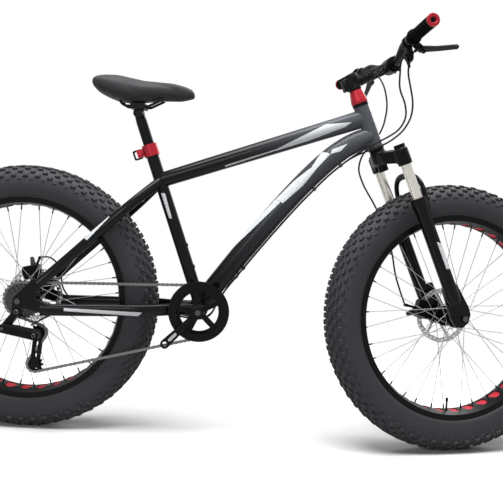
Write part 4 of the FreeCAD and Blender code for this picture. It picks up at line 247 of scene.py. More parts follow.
# %% Frames
TYRE_RADIUS = 0.3739
HEAD_ANGLE = math.radians(66.96)
STEER_ANGLE = math.radians(15.2)
WHEELBASE = 1.2069
FORK_OFFSET = 0.041
BRACKET = (0.496, 0.365)

rear_axle = middle("rear_rim")
BIKE = Matrix.Translation(rear_axle - Vector((0, 0, TYRE_RADIUS)))
REAR = Matrix.Translation(rear_axle)
CRANK_CENTRE = BIKE @ Matrix.Translation((BRACKET[0], 0, BRACKET[1]))

steer_up = Vector((-math.cos(HEAD_ANGLE), 0, math.sin(HEAD_ANGLE)))
steer_side = Matrix.Rotation(STEER_ANGLE, 3, steer_up) @ Vector((0, 1, 0))
steer_foot = Vector((WHEELBASE - FORK_OFFSET / math.sin(HEAD_ANGLE), 0, TYRE_RADIUS))
STEER = BIKE @ axes(steer_foot, steer_side, steer_up)
FRONT = STEER @ Matrix.Translation((FORK_OFFSET, 0, -FORK_OFFSET / math.tan(HEAD_ANGLE)))
print("front axle", FRONT.translation, "front hub", middle("front_hub"))

# %% [markdown]
# ## Camera
# The photo was taken a little above the hubs and almost square to the bike, from about two metres. The
# place and the turn of the camera were found by matching the hubs, the tyres and the tubes to the
# photo.

# %% Camera
CAMERA_PLACE = BIKE @ Vector((0.6846, -2.0018, 0.7095))
CAMERA_YAW = math.radians(-1.48)
CAMERA_PITCH = math.radians(5.03)
CAMERA_ROLL = math.radians(2.58)
SENSOR_WIDTH = 36.0
FOCAL_LENGTH = 50.88

forward = Vector((
    math.sin(CAMERA_YAW) * math.cos(CAMERA_PITCH),
    math.cos(CAMERA_YAW) * math.cos(CAMERA_PITCH),
    -math.sin(CAMERA_PITCH),
))
level = Vector((math.cos(CAMERA_YAW), -math.sin(CAMERA_YAW), 0))
upright = level.cross(forward)
camera_right = math.cos(CAMERA_ROLL) * level + math.sin(CAMERA_ROLL) * upright
camera_up = math.cos(CAMERA_ROLL) * upright - math.sin(CAMERA_ROLL) * level
camera_data = bpy.data.cameras.new("camera")
camera_data.sensor_width = SENSOR_WIDTH
camera_data.lens = FOCAL_LENGTH
camera = bpy.data.objects.new("camera", camera_data)
bpy.context.scene.collection.objects.link(camera)
camera_turn = Matrix((camera_right, camera_up, -forward)).transposed().to_4x4()
camera.matrix_world = Matrix.Translation(CAMERA_PLACE) @ camera_turn
bpy.context.scene.camera = camera
bpy.context.scene.view_settings.view_transform = "Standard"
print("camera at", CAMERA_PLACE)

# %% [markdown]
# ## Node tools
# A material is a tree of nodes, as drawn by hand in the shader editor. Each of these helpers adds a
# node or two and gives back what comes out, so that a material can be read like a formula.


# %% Node tools
def new_material(name):
    """An empty material and its tree."""
    material = bpy.data.materials.new(name)
    material.use_nodes = True
    material.node_tree.nodes.clear()
    return material, material.node_tree


def add(tree, kind, **inputs):
    """A node with some of its inputs set by name."""
    node = tree.nodes.new(kind)
    for key, value in inputs.items():
        node.inputs[key.replace("_", " ")].default_value = value
    return node


def feed(tree, socket, value):
    """A link where the value is a socket, or else the plain value."""
    if isinstance(value, bpy.types.NodeSocket):
        tree.links.new(value, socket)
    else:
        socket.default_value = value


def math_node(tree, operation, first, second, clamp=False):
    """Result of a math node on numbers or sockets."""
    node = tree.nodes.new("ShaderNodeMath")
    node.operation = operation
    node.use_clamp = clamp
    feed(tree, node.inputs[0], first)
    feed(tree, node.inputs[1], second)
    return node.outputs[0]


def vector_node(tree, operation, first, second=None):
    """Vector math node on a socket and perhaps a second vector."""
    node = tree.nodes.new("ShaderNodeVectorMath")
    node.operation = operation
    feed(tree, node.inputs[0], first)
    if second is not None:
        feed(tree, node.inputs[1], second)
    return node


def span(tree, value, start, end):
    """0 at start and 1 at end, smoothly."""
    node = add(tree, "ShaderNodeMapRange", From_Min=start, From_Max=end)
    node.interpolation_type = "SMOOTHSTEP"
    tree.links.new(value, node.inputs["Value"])
    return node.outputs["Result"]


def mix_colour(tree, factor, first, second):
    """Mix of two colours, each a tuple or a socket."""
    node = tree.nodes.new("ShaderNodeMix")
    node.data_type = "RGBA"
    # Inputs 6 and 7 and output 2 are the colours, and those before them are numbers and vectors
    for index, value in ((0, factor), (6, first), (7, second)):
        feed(tree, node.inputs[index], value)
    return node.outputs[2]


def mix_shader(tree, factor, first, second):
    """Mix of two shader nodes."""
    node = tree.nodes.new("ShaderNodeMixShader")
    for index, value in enumerate((factor, first.outputs[0], second.outputs[0])):
        tree.links.new(value, node.inputs[index])
    return node.outputs[0]


def object_point(tree):
    """The shaded point in the object's own coordinates."""
    return tree.nodes.new("ShaderNodeTexCoord").outputs["Object"]


def part_of(tree, vector, axis):
    """One coordinate of a vector."""
    split = tree.nodes.new("ShaderNodeSeparateXYZ")
    tree.links.new(vector, split.inputs[0])
    return split.outputs[axis]


def seen_directly(tree):
    """1 for rays from the camera, reflections and glass, and 0 for light that falls on the object."""
    paths = tree.nodes.new("ShaderNodeLightPath").outputs
    mirrored = math_node(tree, "MAXIMUM", paths["Is Camera Ray"], paths["Is Glossy Ray"])
    return math_node(tree, "MAXIMUM", mirrored, paths["Is Transmission Ray"])


print("node tools ready")

# %% [markdown]
# ## Studio floor
# A catalogue photo is white all round, and its floor keeps only the soft shadow under the tyres. The
# floor here is white card near the bike and fades into a glow as white as the background, so that its
# edge never shows.

# %% Studio floor
FLOOR_HALF = 6.0
FLOOR_FADE_START = 1.0
FLOOR_FADE_END = 1.9
FLOOR_STRETCH = (0.7, 1.3, 0)
CARD_SEEN = (0.86, 0.86, 0.86, 1)
CARD_BOUNCE = (0.4, 0.4, 0.4, 1)
WHITE = (1, 1, 1, 1)

bpy.ops.object.select_all(action="DESELECT")
bpy.ops.mesh.primitive_plane_add(size=2 * FLOOR_HALF, location=(0, 0, 0))
floor = bpy.context.object
floor.name = "studio_floor"
material, tree = new_material("floor_card")
output = tree.nodes.new("ShaderNodeOutputMaterial")
card = tree.nodes.new("ShaderNodeBsdfDiffuse")
# The card looks white, and throws back less light on the object
feed(tree, card.inputs["Color"], mix_colour(tree, seen_directly(tree), CARD_BOUNCE, CARD_SEEN))
glow = add(tree, "ShaderNodeEmission", Color=WHITE, Strength=1.0)
stretched = vector_node(tree, "MULTIPLY", object_point(tree), FLOOR_STRETCH).outputs[0]
distance = vector_node(tree, "LENGTH", stretched).outputs["Value"]
fade = span(tree, distance, FLOOR_FADE_START, FLOOR_FADE_END)
glow_share = math_node(tree, "MULTIPLY", fade, seen_directly(tree))
tree.links.new(mix_shader(tree, glow_share, card, glow), output.inputs["Surface"])
floor.data.materials.append(material)
print("floor", 2 * FLOOR_HALF, "m wide")

# %% [markdown]
# ## Backdrop and lamps
# The world is white where it is seen, directly or in a reflection, and gives the object only a weak
# fill. The light comes from soft boxes, as in a studio: a large one overhead, one on the camera's side
# and one behind the bike for its edges.

# %% Backdrop and lamps
WORLD_FILL = 0.04
# Name, place, point it faces, width, height and power
LAMPS = [
    ("overhead", (0.1, -0.5, 3.2), (0, 0, 0.4), 3.2, 1.6, 200),
    ("front_fill", (-1.2, -3.4, 1.9), (0, 0, 0.6), 1.6, 1.2, 30),
    ("rim_light", (1.6, 2.4, 2.2), (0, 0, 0.7), 1.6, 1.6, 40),
]

world = bpy.data.worlds.new("studio")
bpy.context.scene.world = world
world.use_nodes = True
tree = world.node_tree
tree.nodes.clear()
output = tree.nodes.new("ShaderNodeOutputWorld")
fill = add(tree, "ShaderNodeBackground", Color=WHITE, Strength=WORLD_FILL)
backdrop = add(tree, "ShaderNodeBackground", Color=WHITE, Strength=1.0)
tree.links.new(mix_shader(tree, seen_directly(tree), fill, backdrop), output.inputs["Surface"])


def soft_box(name, place_at, target, width, height, power):
    """Area lamp that faces a point."""
    lamp = bpy.data.lights.new(name, "AREA")
    lamp.shape = "RECTANGLE"
    lamp.size = width
    lamp.size_y = height
    lamp.energy = power
    thing = bpy.data.objects.new(name, lamp)
    bpy.context.scene.collection.objects.link(thing)
    way = Vector(target) - Vector(place_at)
    turn = way.to_track_quat("-Z", "Y").to_matrix().to_4x4()
    thing.matrix_world = Matrix.Translation(Vector(place_at)) @ turn


for row in LAMPS:
    soft_box(*row)
print(len(LAMPS), "lamps")

# %% [markdown]
# ## Surface grain, shared by the finishes
# Real finishes are never one colour. This node group gives a slightly mottled colour, a roughness that
# varies with it, faint dust with painted light on faces that look up, and a fine height for a bump. Each
# material sets its own scale and amounts.

# %% Surface grain group
GRAIN_SOCKETS = {
    "INPUT": ("Color", "Roughness", "Scale", "Mottle", "Dust and top light"),
    "OUTPUT": ("Color", "Roughness", "Height"),
}
DUST_AND_TOP_LIGHT_COLOUR = (0.32, 0.31, 0.3, 1)
DUST_AND_TOP_LIGHT_START = 0.3
ROUGHNESS_SWING = 0.18

grain = bpy.data.node_groups.new("surface_grain", "ShaderNodeTree")
for direction, names in GRAIN_SOCKETS.items():
    for name in names:
        kind = "NodeSocketColor" if name == "Color" else "NodeSocketFloat"
        grain.interface.new_socket(name, in_out=direction, socket_type=kind)
entry = grain.nodes.new("NodeGroupInput")
leave = grain.nodes.new("NodeGroupOutput")
fine = add(grain, "ShaderNodeTexNoise", Detail=4.0, Roughness=0.6)
broad = add(grain, "ShaderNodeTexNoise", Scale=9.0, Detail=3.0)
for noise in (fine, broad):
    grain.links.new(object_point(grain), noise.inputs["Vector"])
grain.links.new(entry.outputs["Scale"], fine.inputs["Scale"])
centred = math_node(grain, "SUBTRACT", fine.outputs[0], 0.5)
cloudy = math_node(grain, "SUBTRACT", broad.outputs[0], 0.5)
both = math_node(grain, "ADD", centred, cloudy)
swing = math_node(grain, "MULTIPLY", both, entry.outputs["Mottle"])
tinted = vector_node(grain, "SCALE", entry.outputs["Color"])
grain.links.new(math_node(grain, "ADD", swing, 1.0), tinted.inputs["Scale"])
# Faces that look up turn towards a light grey: partly dust, partly painted light on the top.
normal = grain.nodes.new("ShaderNodeNewGeometry").outputs["Normal"]
upward = span(grain, part_of(grain, normal, "Z"), DUST_AND_TOP_LIGHT_START, 1.0)
patchy = math_node(grain, "MULTIPLY", upward, broad.outputs[0])
dust_and_top_light = math_node(grain, "MULTIPLY", patchy, entry.outputs["Dust and top light"])
grain.links.new(mix_colour(grain, dust_and_top_light, tinted.outputs[0], DUST_AND_TOP_LIGHT_COLOUR), leave.inputs["Color"])
uneven = math_node(grain, "MULTIPLY", both, ROUGHNESS_SWING)
rough = math_node(grain, "ADD", entry.outputs["Roughness"], uneven)
grain.links.new(math_node(grain, "ADD", rough, dust_and_top_light, clamp=True), leave.inputs["Roughness"])
grain.links.new(fine.outputs[0], leave.inputs["Height"])
print("surface grain group ready")

# %% [markdown]
# ## One finish
# Each finish is a Principled shader fed by the grain group, with a bump at the scale of that material.
# One function makes them all, because they differ only in a few values.

# %% One finish
COAT_ROUGHNESS = 0.12
BUMP_DISTANCE = 0.0006


def finish(name, colour, roughness, scale, mottle, bump, metallic=0.0, coat=0.0, dust=0.0, specular=0.5):
    """Principled material on the grain group; colour is a tuple or a function that returns a socket."""
    material, tree = new_material(name)
    output = tree.nodes.new("ShaderNodeOutputMaterial")
    shader = add(tree, "ShaderNodeBsdfPrincipled", Metallic=metallic, Coat_Weight=coat,
                 Coat_Roughness=COAT_ROUGHNESS, Specular_IOR_Level=specular)
    group = tree.nodes.new("ShaderNodeGroup")
    group.node_tree = grain
    for key, value in (("Roughness", roughness), ("Scale", scale), ("Mottle", mottle), ("Dust and top light", dust)):
        group.inputs[key].default_value = value
    feed(tree, group.inputs["Color"], colour(tree) if callable(colour) else (*colour, 1))
    ridge = add(tree, "ShaderNodeBump", Strength=bump, Distance=BUMP_DISTANCE)
    tree.links.new(group.outputs["Height"], ridge.inputs["Height"])
    tree.links.new(group.outputs["Color"], shader.inputs["Base Color"])
    tree.links.new(group.outputs["Roughness"], shader.inputs["Roughness"])
    tree.links.new(ridge.outputs["Normal"], shader.inputs["Normal"])
    tree.links.new(shader.outputs[0], output.inputs["Surface"])
    return material


print("finish ready")

# %% [markdown]
# ## Paint
# The frame is black at the rear and slate at the head, with plain silver stripes and one painted
# highlight: a silver streak along the chainstay stands for its gloss. The fork legs have a silver streak.
# Paint has no thickness, so a stripe is not a mesh of its own: nodes test whether a point lies inside a
# convex outline in X and Z.

# %% Paint
FRAME_BLACK = (0.003, 0.003, 0.0037, 1)
FRAME_SLATE = (0.084, 0.089, 0.101, 1)
FORK_BLACK = (0.003, 0.003, 0.0034, 1)
STRIPE_AND_HIGHLIGHT_SILVER = (0.66, 0.68, 0.71, 1)
SLATE_START = -0.08
SLATE_END = 0.36
EDGE_BLUR = 0.0004
# Corners in X and Z of the scene, seen from the right of the bike
STRIPES_AND_HIGHLIGHT = [
    [(0.09, 0.822), (0.224, 0.896), (0.294, 0.9045), (0.276, 0.890), (0.174, 0.8476), (0.09, 0.818)],
    [(-0.05, 0.7715), (0.09, 0.822), (0.09, 0.8185), (-0.0493, 0.7675)],
    [(0.2403, 0.8159), (0.2444, 0.8279), (0.2856, 0.8457), (0.2682, 0.8243)],
    [(0.1886, 0.7742), (0.2166, 0.822), (0.2403, 0.8159), (0.2051, 0.7749)],
    [(0.1458, 0.7396), (0.1938, 0.7799), (0.2051, 0.7749), (0.17, 0.7266)],
    [(0.0966, 0.6857), (0.1458, 0.7396), (0.17, 0.7266), (0.1161, 0.6746)],
    [(-0.0661, 0.4985), (0.0966, 0.6857), (0.109, 0.6768), (-0.0659, 0.4926)],
    [(-0.2255, 0.687), (-0.2143, 0.687), (-0.1922, 0.618), (-0.2006, 0.618)],
    [(-0.4222, 0.555), (-0.3633, 0.6234), (-0.3555, 0.6166), (-0.4138, 0.55)],
    # The last outline, along the chainstay, is a painted highlight: a glossy streak drawn as silver paint.
    [(-0.47, 0.362), (-0.2578, 0.3575), (-0.2685, 0.346), (-0.47, 0.354)],
]
FORK_STREAK = [(0.5295, 0.5917), (0.5446, 0.587), (0.5719, 0.5205), (0.5599, 0.5199)]


def inside_polygon(tree, point, corners):
    """1 inside a convex polygon of (x, z) corners, going round clockwise, and 0 outside."""
    mask = None
    for (x, z), (next_x, next_z) in zip(corners, corners[1:] + corners[:1]):
        way = Vector((next_x - x, next_z - z)).normalized()
        across = vector_node(tree, "DOT_PRODUCT", point, (way.y, 0, -way.x)).outputs["Value"]
        side = math_node(tree, "SUBTRACT", across, way.y * x - way.x * z)
        soft = span(tree, side, -EDGE_BLUR, EDGE_BLUR)
        mask = soft if mask is None else math_node(tree, "MULTIPLY", mask, soft)
    return mask


def faces_outwards(tree, point):
    """1 on faces that look away from the bike's middle plane; the inner sides of the stays stay plain."""
    side = math_node(tree, "SUBTRACT", part_of(tree, point, "Y"), rear_axle.y)
    normal = tree.nodes.new("ShaderNodeNewGeometry").outputs["Normal"]
    outward = math_node(tree, "MULTIPLY", side, part_of(tree, normal, "Y"))
    return math_node(tree, "GREATER_THAN", outward, 0.0)


def frame_colour(tree):
    """Black that turns to slate along the bike, with the stripes and the painted chainstay highlight on its
    outer faces.
    """
    point = object_point(tree)
    slate = span(tree, part_of(tree, point, "X"), SLATE_START, SLATE_END)
    colour = mix_colour(tree, slate, FRAME_BLACK, FRAME_SLATE)
    stripes_and_highlight = None
    for corners in STRIPES_AND_HIGHLIGHT:
        mask = inside_polygon(tree, point, corners)
        stripes_and_highlight = mask if stripes_and_highlight is None else math_node(tree, "MAXIMUM", stripes_and_highlight, mask)
    outside = math_node(tree, "MULTIPLY", stripes_and_highlight, faces_outwards(tree, point))
    return mix_colour(tree, outside, colour, STRIPE_AND_HIGHLIGHT_SILVER)


def fork_colour(tree):
    """Black with one silver streak."""
    streak = inside_polygon(tree, object_point(tree), FORK_STREAK)
    return mix_colour(tree, streak, FORK_BLACK, STRIPE_AND_HIGHLIGHT_SILVER)


print(len(STRIPES_AND_HIGHLIGHT), "stripes on the frame")

# %% [markdown]
# ## Finishes
# Satin black alloy, gloss fork paint, polished and plain steel, red anodised alloy, rubber, moulded
# plastic and the saddle's cover. They stand in one table, so that they can be compared and tuned side
# by side.

# %% Finishes
# The dust amount also paints light on the faces that look up.
# Name, colour, roughness, scale of the grain, mottle, bump and what else is set
FINISHES = [
    ("frame_paint", frame_colour, 0.32, 260, 0.1, 0.006, dict(coat=0.2, specular=0.04)),
    ("black_alloy", (0.0032, 0.0032, 0.0036), 0.36, 300, 0.2, 0.012, dict(specular=0.09)),
    ("fork_paint", fork_colour, 0.26, 240, 0.1, 0.005, dict(coat=0.2, specular=0.03)),
    ("bright_steel", (0.36, 0.36, 0.37), 0.24, 320, 0.1, 0.006, dict(metallic=1.0)),
    ("red_anodised", (0.36, 0.006, 0.018), 0.34, 300, 0.2, 0.01, dict(metallic=0.35, specular=0.4)),
    ("tyre_rubber", (0.037, 0.038, 0.042), 0.56, 500, 0.25, 0.08, dict(dust=0.05, specular=0.16)),
    ("grip_rubber", (0.0016, 0.0016, 0.0018), 0.7, 700, 0.3, 0.1, dict(specular=0.03)),
    ("saddle_cover", (0.026, 0.026, 0.0285), 0.6, 700, 0.25, 0.12, dict(dust=0.02, specular=0.18)),
    ("black_plastic", (0.0034, 0.0034, 0.0038), 0.46, 400, 0.2, 0.02, dict(specular=0.07)),
    ("cable_housing", (0.008, 0.008, 0.009), 0.4, 300, 0.2, 0.02, dict(coat=0.05, specular=0.15)),
    ("spoke_steel", (0.3, 0.31, 0.32), 0.36, 300, 0.2, 0.01, dict(metallic=0.9)),
    ("chain_steel", (0.14, 0.14, 0.14), 0.36, 400, 0.3, 0.02, dict(metallic=1.0)),
    ("polished_nickel", (0.6, 0.575, 0.535), 0.26, 300, 0.08, 0.004, dict(metallic=0.85)),
    ("cassette_steel", (0.05, 0.05, 0.053), 0.34, 400, 0.3, 0.02, dict(metallic=0.9)),
    ("dark_steel", (0.07, 0.07, 0.074), 0.38, 300, 0.25, 0.015, dict(metallic=0.9)),
    ("rim_strip_cloth", (0.52, 0.012, 0.03), 0.7, 1800, 0.35, 0.4, {}),
]
# CAD nodes with another finish than their slot's
OTHER_FINISHES = {
    "spoke_steel": ("front_spokes", "rear_spokes"),
    "dark_steel": ("front_axle", "rear_axle", "bottom_bracket", "crank_spindle", "front_brake_arm",
                   "rear_brake_arm"),
    "black_alloy": ("saddle_rails",),
    "polished_nickel": ("stanchions",),
}

finishes = {name: finish(name, *look, **more) for name, *look, more in FINISHES}
for thing in nodes.values():
    for holder in thing.material_slots:
        holder.material = finishes[holder.material.name.split(".")[0]]
for name, node_names in OTHER_FINISHES.items():
    for node in node_names:
        nodes[node].material_slots[0].material = finishes[name]
print(len(finishes), "finishes")

# %% [markdown]
# ## Dressing a piece
# Every new piece gets a finish and hides the CAD nodes that it stands for. It rides on one CAD body, or
# else on none.


# %% Dressing a piece
def dress(thing, body, slot, material=None, replaces=()):
    """Finish, body and replaced nodes of a piece: the finish is the slot's unless a material is given, and
    the replaced nodes are hidden; body is None where the piece rides on no body.
    """
    thing.data.materials.clear()
    thing.data.materials.append(material or finishes[slot])
    if body:
        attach(thing, body)
    if replaces:
        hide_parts(*replaces)
    print(thing.name, len(thing.data.polygons), "faces on", body or "two bodies")


def copy_of(node, name):
    """A free copy of a CAD node's mesh, merged so that its faces share their corners."""
    twin = duplicate(nodes[node], name)
    bpy.ops.object.parent_clear(type="CLEAR_KEEP_TRANSFORM")
    bpy.ops.object.transform_apply(location=True, rotation=True, scale=True)
    for key in [key for key in twin.keys() if key.startswith("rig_")]:
        del twin[key]
    return weld(twin)


print("dressing ready")

# %% [markdown]
# ## Tyres
# A fat tyre is a round carcass with a knobbly tread that wraps over the shoulders, and a bare sidewall.
# The carcass is a section spun about the axle. One knob is modelled for each row, the rows of one pitch
# are joined, and that pitch is copied round the wheel by a spin that leaves copies.

# %% Tyres
UPWARD = 0.9
KNOB_HEIGHT = 0.0055
KNOB_ROOT = 0.0015
KNOB_TAPER = (0.84, 0.8, 1)
KNOB_WEAR = 0.0009
CARCASS_HALF = 0.0484
TREAD_FLAT_HALF = 0.012
TREAD_RADIUS = TYRE_RADIUS - KNOB_HEIGHT
SECTION_MIDDLE = TREAD_RADIUS - math.sqrt(CARCASS_HALF ** 2 - TREAD_FLAT_HALF ** 2)
BEAD_RADIUS = 0.2845
BEAD_HALF = 0.0366
TYRE_WALL = 0.004
RIDGE_ANGLES = (-50, 230)
RIDGE_SHARE = 1.018
TYRE_STEPS = 144
PITCH_COUNT = 64
# Length, width and height of a knob
TREAD_KNOB = (0.015, 0.009, KNOB_HEIGHT)
SIDE_KNOB = (0.012, 0.005, 0.0025)
# Angle of each row from the side of the tyre, and its knob
KNOB_ROWS = [(angle, TREAD_KNOB) for angle in (90, 75, 60, 45, 30)] + [(17, SIDE_KNOB)]


def carcass_point(angle, inset=0.0):
    """(radius, along) of the carcass at an angle in degrees.

    -90 and 270 are the beads, 0 and 180 the widest points and 90 the top.
    """
    turn = math.radians(angle)
    if 0 <= angle <= 180:
        along = (CARCASS_HALF - inset) * math.cos(turn)
        top = min(SECTION_MIDDLE + CARCASS_HALF * math.sin(turn), TREAD_RADIUS)
        radius = top - inset * math.sin(turn)
    else:
        side = math.copysign(1, math.cos(turn))
        along = side * (BEAD_HALF - inset + (CARCASS_HALF - BEAD_HALF) * abs(math.cos(turn)))
        radius = SECTION_MIDDLE + (SECTION_MIDDLE - BEAD_RADIUS) * math.sin(turn)
    if angle in RIDGE_ANGLES:
        along = along * RIDGE_SHARE
    return radius, along


def choose_top(thing):
    """Edit mode with only the faces that look up."""
    edit(thing)
    bpy.ops.mesh.select_mode(type="FACE")
    bpy.ops.mesh.select_all(action="DESELECT")
    object_mode()
    for face in thing.data.polygons:
        face.select = face.normal.z > UPWARD
    bpy.ops.object.mode_set(mode="EDIT")


def make_knob(length, width, height):
    """Tapered block with a worn top edge, standing on Z 0 with its root below."""
    bpy.ops.object.select_all(action="DESELECT")
    bpy.ops.mesh.primitive_cube_add(size=1, location=(0, 0, 0))
    block = bpy.context.object
    edit(block)
    bpy.ops.transform.resize(value=(length, width, height + KNOB_ROOT))
    bpy.ops.transform.translate(value=(0, 0, (height - KNOB_ROOT) / 2))
    choose_top(block)
    bpy.ops.transform.resize(value=KNOB_TAPER)
    bpy.ops.mesh.bevel(offset=KNOB_WEAR, segments=1, affect="EDGES")
    object_mode()
    return block


def knob_place(angle, shift):
    """Matrix of a knob on the carcass at the top of the wheel, moved round by a share of the pitch."""
    radius, along = carcass_point(angle)
    outward = Vector((0, math.cos(math.radians(angle)), math.sin(math.radians(angle))))
    lateral = Vector((0, outward.z, -outward.y))
    moved_round = Matrix.Rotation(shift * math.tau / PITCH_COUNT, 4, "Y")
    return moved_round @ axes((0, along, radius), lateral, outward)


def make_tyre(name):
    """Carcass and tread of one tyre about the origin."""
    outer = [carcass_point(angle) for angle in range(-90, 271, 10)]
    inner = [carcass_point(angle, TYRE_WALL) for angle in range(270, -91, -15)]
    carcass = spun("carcass", outer + inner, TYRE_STEPS)
    knobs = []
    for row, (angle, size) in enumerate(KNOB_ROWS):
        for row_angle in sorted({angle, 180 - angle}):
            knobs.append(place(make_knob(*size), knob_place(row_angle, row % 2 / 2)))
    tread = fuse("tread", knobs)
    edit(tread)
    # The first pitch is there already, so the spin stops one pitch short of a full turn
    bpy.ops.mesh.spin(steps=PITCH_COUNT - 1, dupli=True, angle=math.tau * (PITCH_COUNT - 1) / PITCH_COUNT,
                      center=(0, 0, 0), axis=(0, 1, 0))
    return smooth(fuse(name, [carcass, tread]), degrees=40)


rear_tyre = make_tyre("rear_tyre_tread")
front_tyre = duplicate(rear_tyre, "front_tyre_tread")
dress(place(rear_tyre, REAR), "rear_wheel", "tyre_rubber", replaces=["rear_tyre"])
dress(place(front_tyre, FRONT), "front_wheel", "tyre_rubber", replaces=["front_tyre"])

# %% [markdown]
# ## Rim strips, nipples and valves
# The rims have a row of windows, and a red strip of cloth lies over them inside the tyre. Each spoke
# ends in a small black nipple on the rim bed. The valve comes through the bed opposite the rim's joint.

# %% Rim strips, nipples and valves
STRIP_PROFILE = [
    (0.2653, -0.014), (0.2653, 0.014), (0.2705, 0.029), (0.2713, 0.029),
    (0.2662, 0.0142), (0.2662, -0.0142), (0.2713, -0.029), (0.2705, -0.029),
]
SPOKE_COUNT = 36
SPOKE_CROSS = 3
FLANGE_REACH = 0.0302
BED_REACH = 0.2617
SPOKE_SPREAD = 0.0015
BED_OFFSET = 0.006
NIPPLE_PROFILE = [(0.001, -0.013), (0.0016, -0.013), (0.0021, -0.0105), (0.0021, 0.0), (0.001, 0.0)]
VALVE_PROFILE = [
    (0.0006, -0.034), (0.0032, -0.034), (0.0036, -0.031), (0.0036, -0.024), (0.0026, -0.0235),
    (0.0026, -0.003), (0.0042, -0.0025), (0.0042, 0.0), (0.0006, 0.0),
]
VALVE_SPOKE = 20
VALVE_SIDE = 1.6
# Wheel, its place, its body, and how far out its left and right hub flanges are
WHEELS = [
    ("front", FRONT, "front_wheel", (0.031, 0.031)),
    ("rear", REAR, "rear_wheel", (0.036, 0.043)),
]


def spoke_line(number, flanges):
    """Start and end of a spoke in the wheel's frame."""
    left = number % 2 == 0
    side = 1 if left else -1
    lean = 1 if number % 4 < 2 else -1
    step = math.tau / SPOKE_COUNT
    rim_turn = (number + 0.5) * step
    hub_turn = rim_turn + lean * SPOKE_CROSS * 2 * step
    hub_y = side * (flanges[0 if left else 1] + lean * SPOKE_SPREAD)
    start = Vector((FLANGE_REACH * math.sin(hub_turn), hub_y, FLANGE_REACH * math.cos(hub_turn)))
    end = Vector((BED_REACH * math.sin(rim_turn), side * BED_OFFSET, BED_REACH * math.cos(rim_turn)))
    return start, end


def along_line(end, way):
    """Matrix with Y along a direction at a point."""
    return axes(end, way, way.cross(Vector((0, 1, 0))))


for wheel, centre, body, flanges in WHEELS:
    strip = smooth(spun(wheel + "_rim_strip", STRIP_PROFILE, steps=108))
    dress(place(strip, centre), body, "red_anodised", finishes["rim_strip_cloth"])
    pattern = smooth(spun("nipple", NIPPLE_PROFILE, steps=8))
    copies = []
    for number in range(SPOKE_COUNT):
        start, end = spoke_line(number, flanges)
        copies.append(place(duplicate(pattern, "nipple"), along_line(end, (end - start).normalized())))
    bpy.data.objects.remove(pattern)
    dress(place(fuse(wheel + "_nipples", copies), centre), body, "black_alloy")
    start, end = spoke_line(VALVE_SPOKE, flanges)
    radial = Vector((end.x, 0, end.z)).normalized()
    valve = smooth(spun(wheel + "_valve", VALVE_PROFILE, steps=16))
    valve_end = Vector((end.x, -end.y * VALVE_SIDE, end.z))
    dress(place(valve, centre @ along_line(valve_end, radial)), body, "black_plastic")

# %% [markdown]
# ## Brake rotors
# A rotor is a punched steel disc: a wavy braking band with rows of holes, and curved arms to the
# six-bolt centre. It is drawn as one flat outline with its holes, which also gives the thin bevel at
# each edge.

# %% Brake rotors
ROTOR_RADIUS = 0.0795
ROTOR_BAND = 0.0145
ROTOR_WAVES = 12
WAVE_POINTS = 12
ROTOR_WAVE = 0.0013
ROTOR_ARMS = 6
ROTOR_HOLES = 36
ROTOR_HOLE_RADIUS = 0.0021
ROTOR_HOLE_SHIFTS = (0.0032, 0.0, -0.0032)
ROTOR_BORE = 0.0141
ROTOR_BOLT_CIRCLE = 0.0195
ROTOR_THICKNESS = 0.0018
ROTOR_BEVEL = 0.0002
ROTOR_HOLE_POINTS = 10
FRONT_ROTOR_Y = 0.052
REAR_ROTOR_Y = 0.062
ARM_ROOT_RADIUS = 0.0262
ARM_WIDTH = 0.0085
ARM_LEAN = math.radians(26)
ROOT_STEPS = 8
TIP_STEPS = 12
# Radius, height and socket radius of a bolt head
ROTOR_BOLT = (0.0036, 0.0022, 0.0016)
BOLT_CHAMFER = 0.2
SOCKET_DEPTH = 0.6
HALF_TURN = Matrix.Rotation(math.pi, 4, "Z")


def polar(radius, angle):
    """(x, z) of a point at an angle from X."""
    return radius * math.cos(angle), radius * math.sin(angle)


def rotor_outlines():
    """The wavy edge, and then the bore, the windows between the arms and the holes."""
    edge = []
    for number in range(ROTOR_WAVES * WAVE_POINTS):
        turn = math.tau * number / (ROTOR_WAVES * WAVE_POINTS)
        edge.append(polar(ROTOR_RADIUS - ROTOR_WAVE * (1 - math.cos(ROTOR_WAVES * turn)) / 2, turn))
    outlines = [edge, circle(ROTOR_BORE, count=48)]
    inner_edge = ROTOR_RADIUS - ROTOR_BAND
    step = math.tau / ROTOR_ARMS
    root_half = ARM_WIDTH / 2 / ARM_ROOT_RADIUS
    tip_half = ARM_WIDTH / 2 / inner_edge
    for arm in range(ROTOR_ARMS):
        window = []
        for share in range(ROOT_STEPS + 1):
            turn = arm * step + root_half + (step - 2 * root_half) * share / ROOT_STEPS
            window.append(polar(ARM_ROOT_RADIUS, turn))
        for share in range(TIP_STEPS, -1, -1):
            turn = arm * step + ARM_LEAN + tip_half + (step - 2 * tip_half) * share / TIP_STEPS
            window.append(polar(inner_edge + ROTOR_WAVE * math.cos(ROTOR_WAVES * turn), turn))
        outlines.append(window)
    for number in range(ROTOR_HOLES):
        reach = ROTOR_RADIUS - ROTOR_BAND / 2 + ROTOR_HOLE_SHIFTS[number % 3]
        hole = polar(reach, math.tau * number / ROTOR_HOLES)
        outlines.append(circle(ROTOR_HOLE_RADIUS, ROTOR_HOLE_POINTS, *hole))
    return outlines


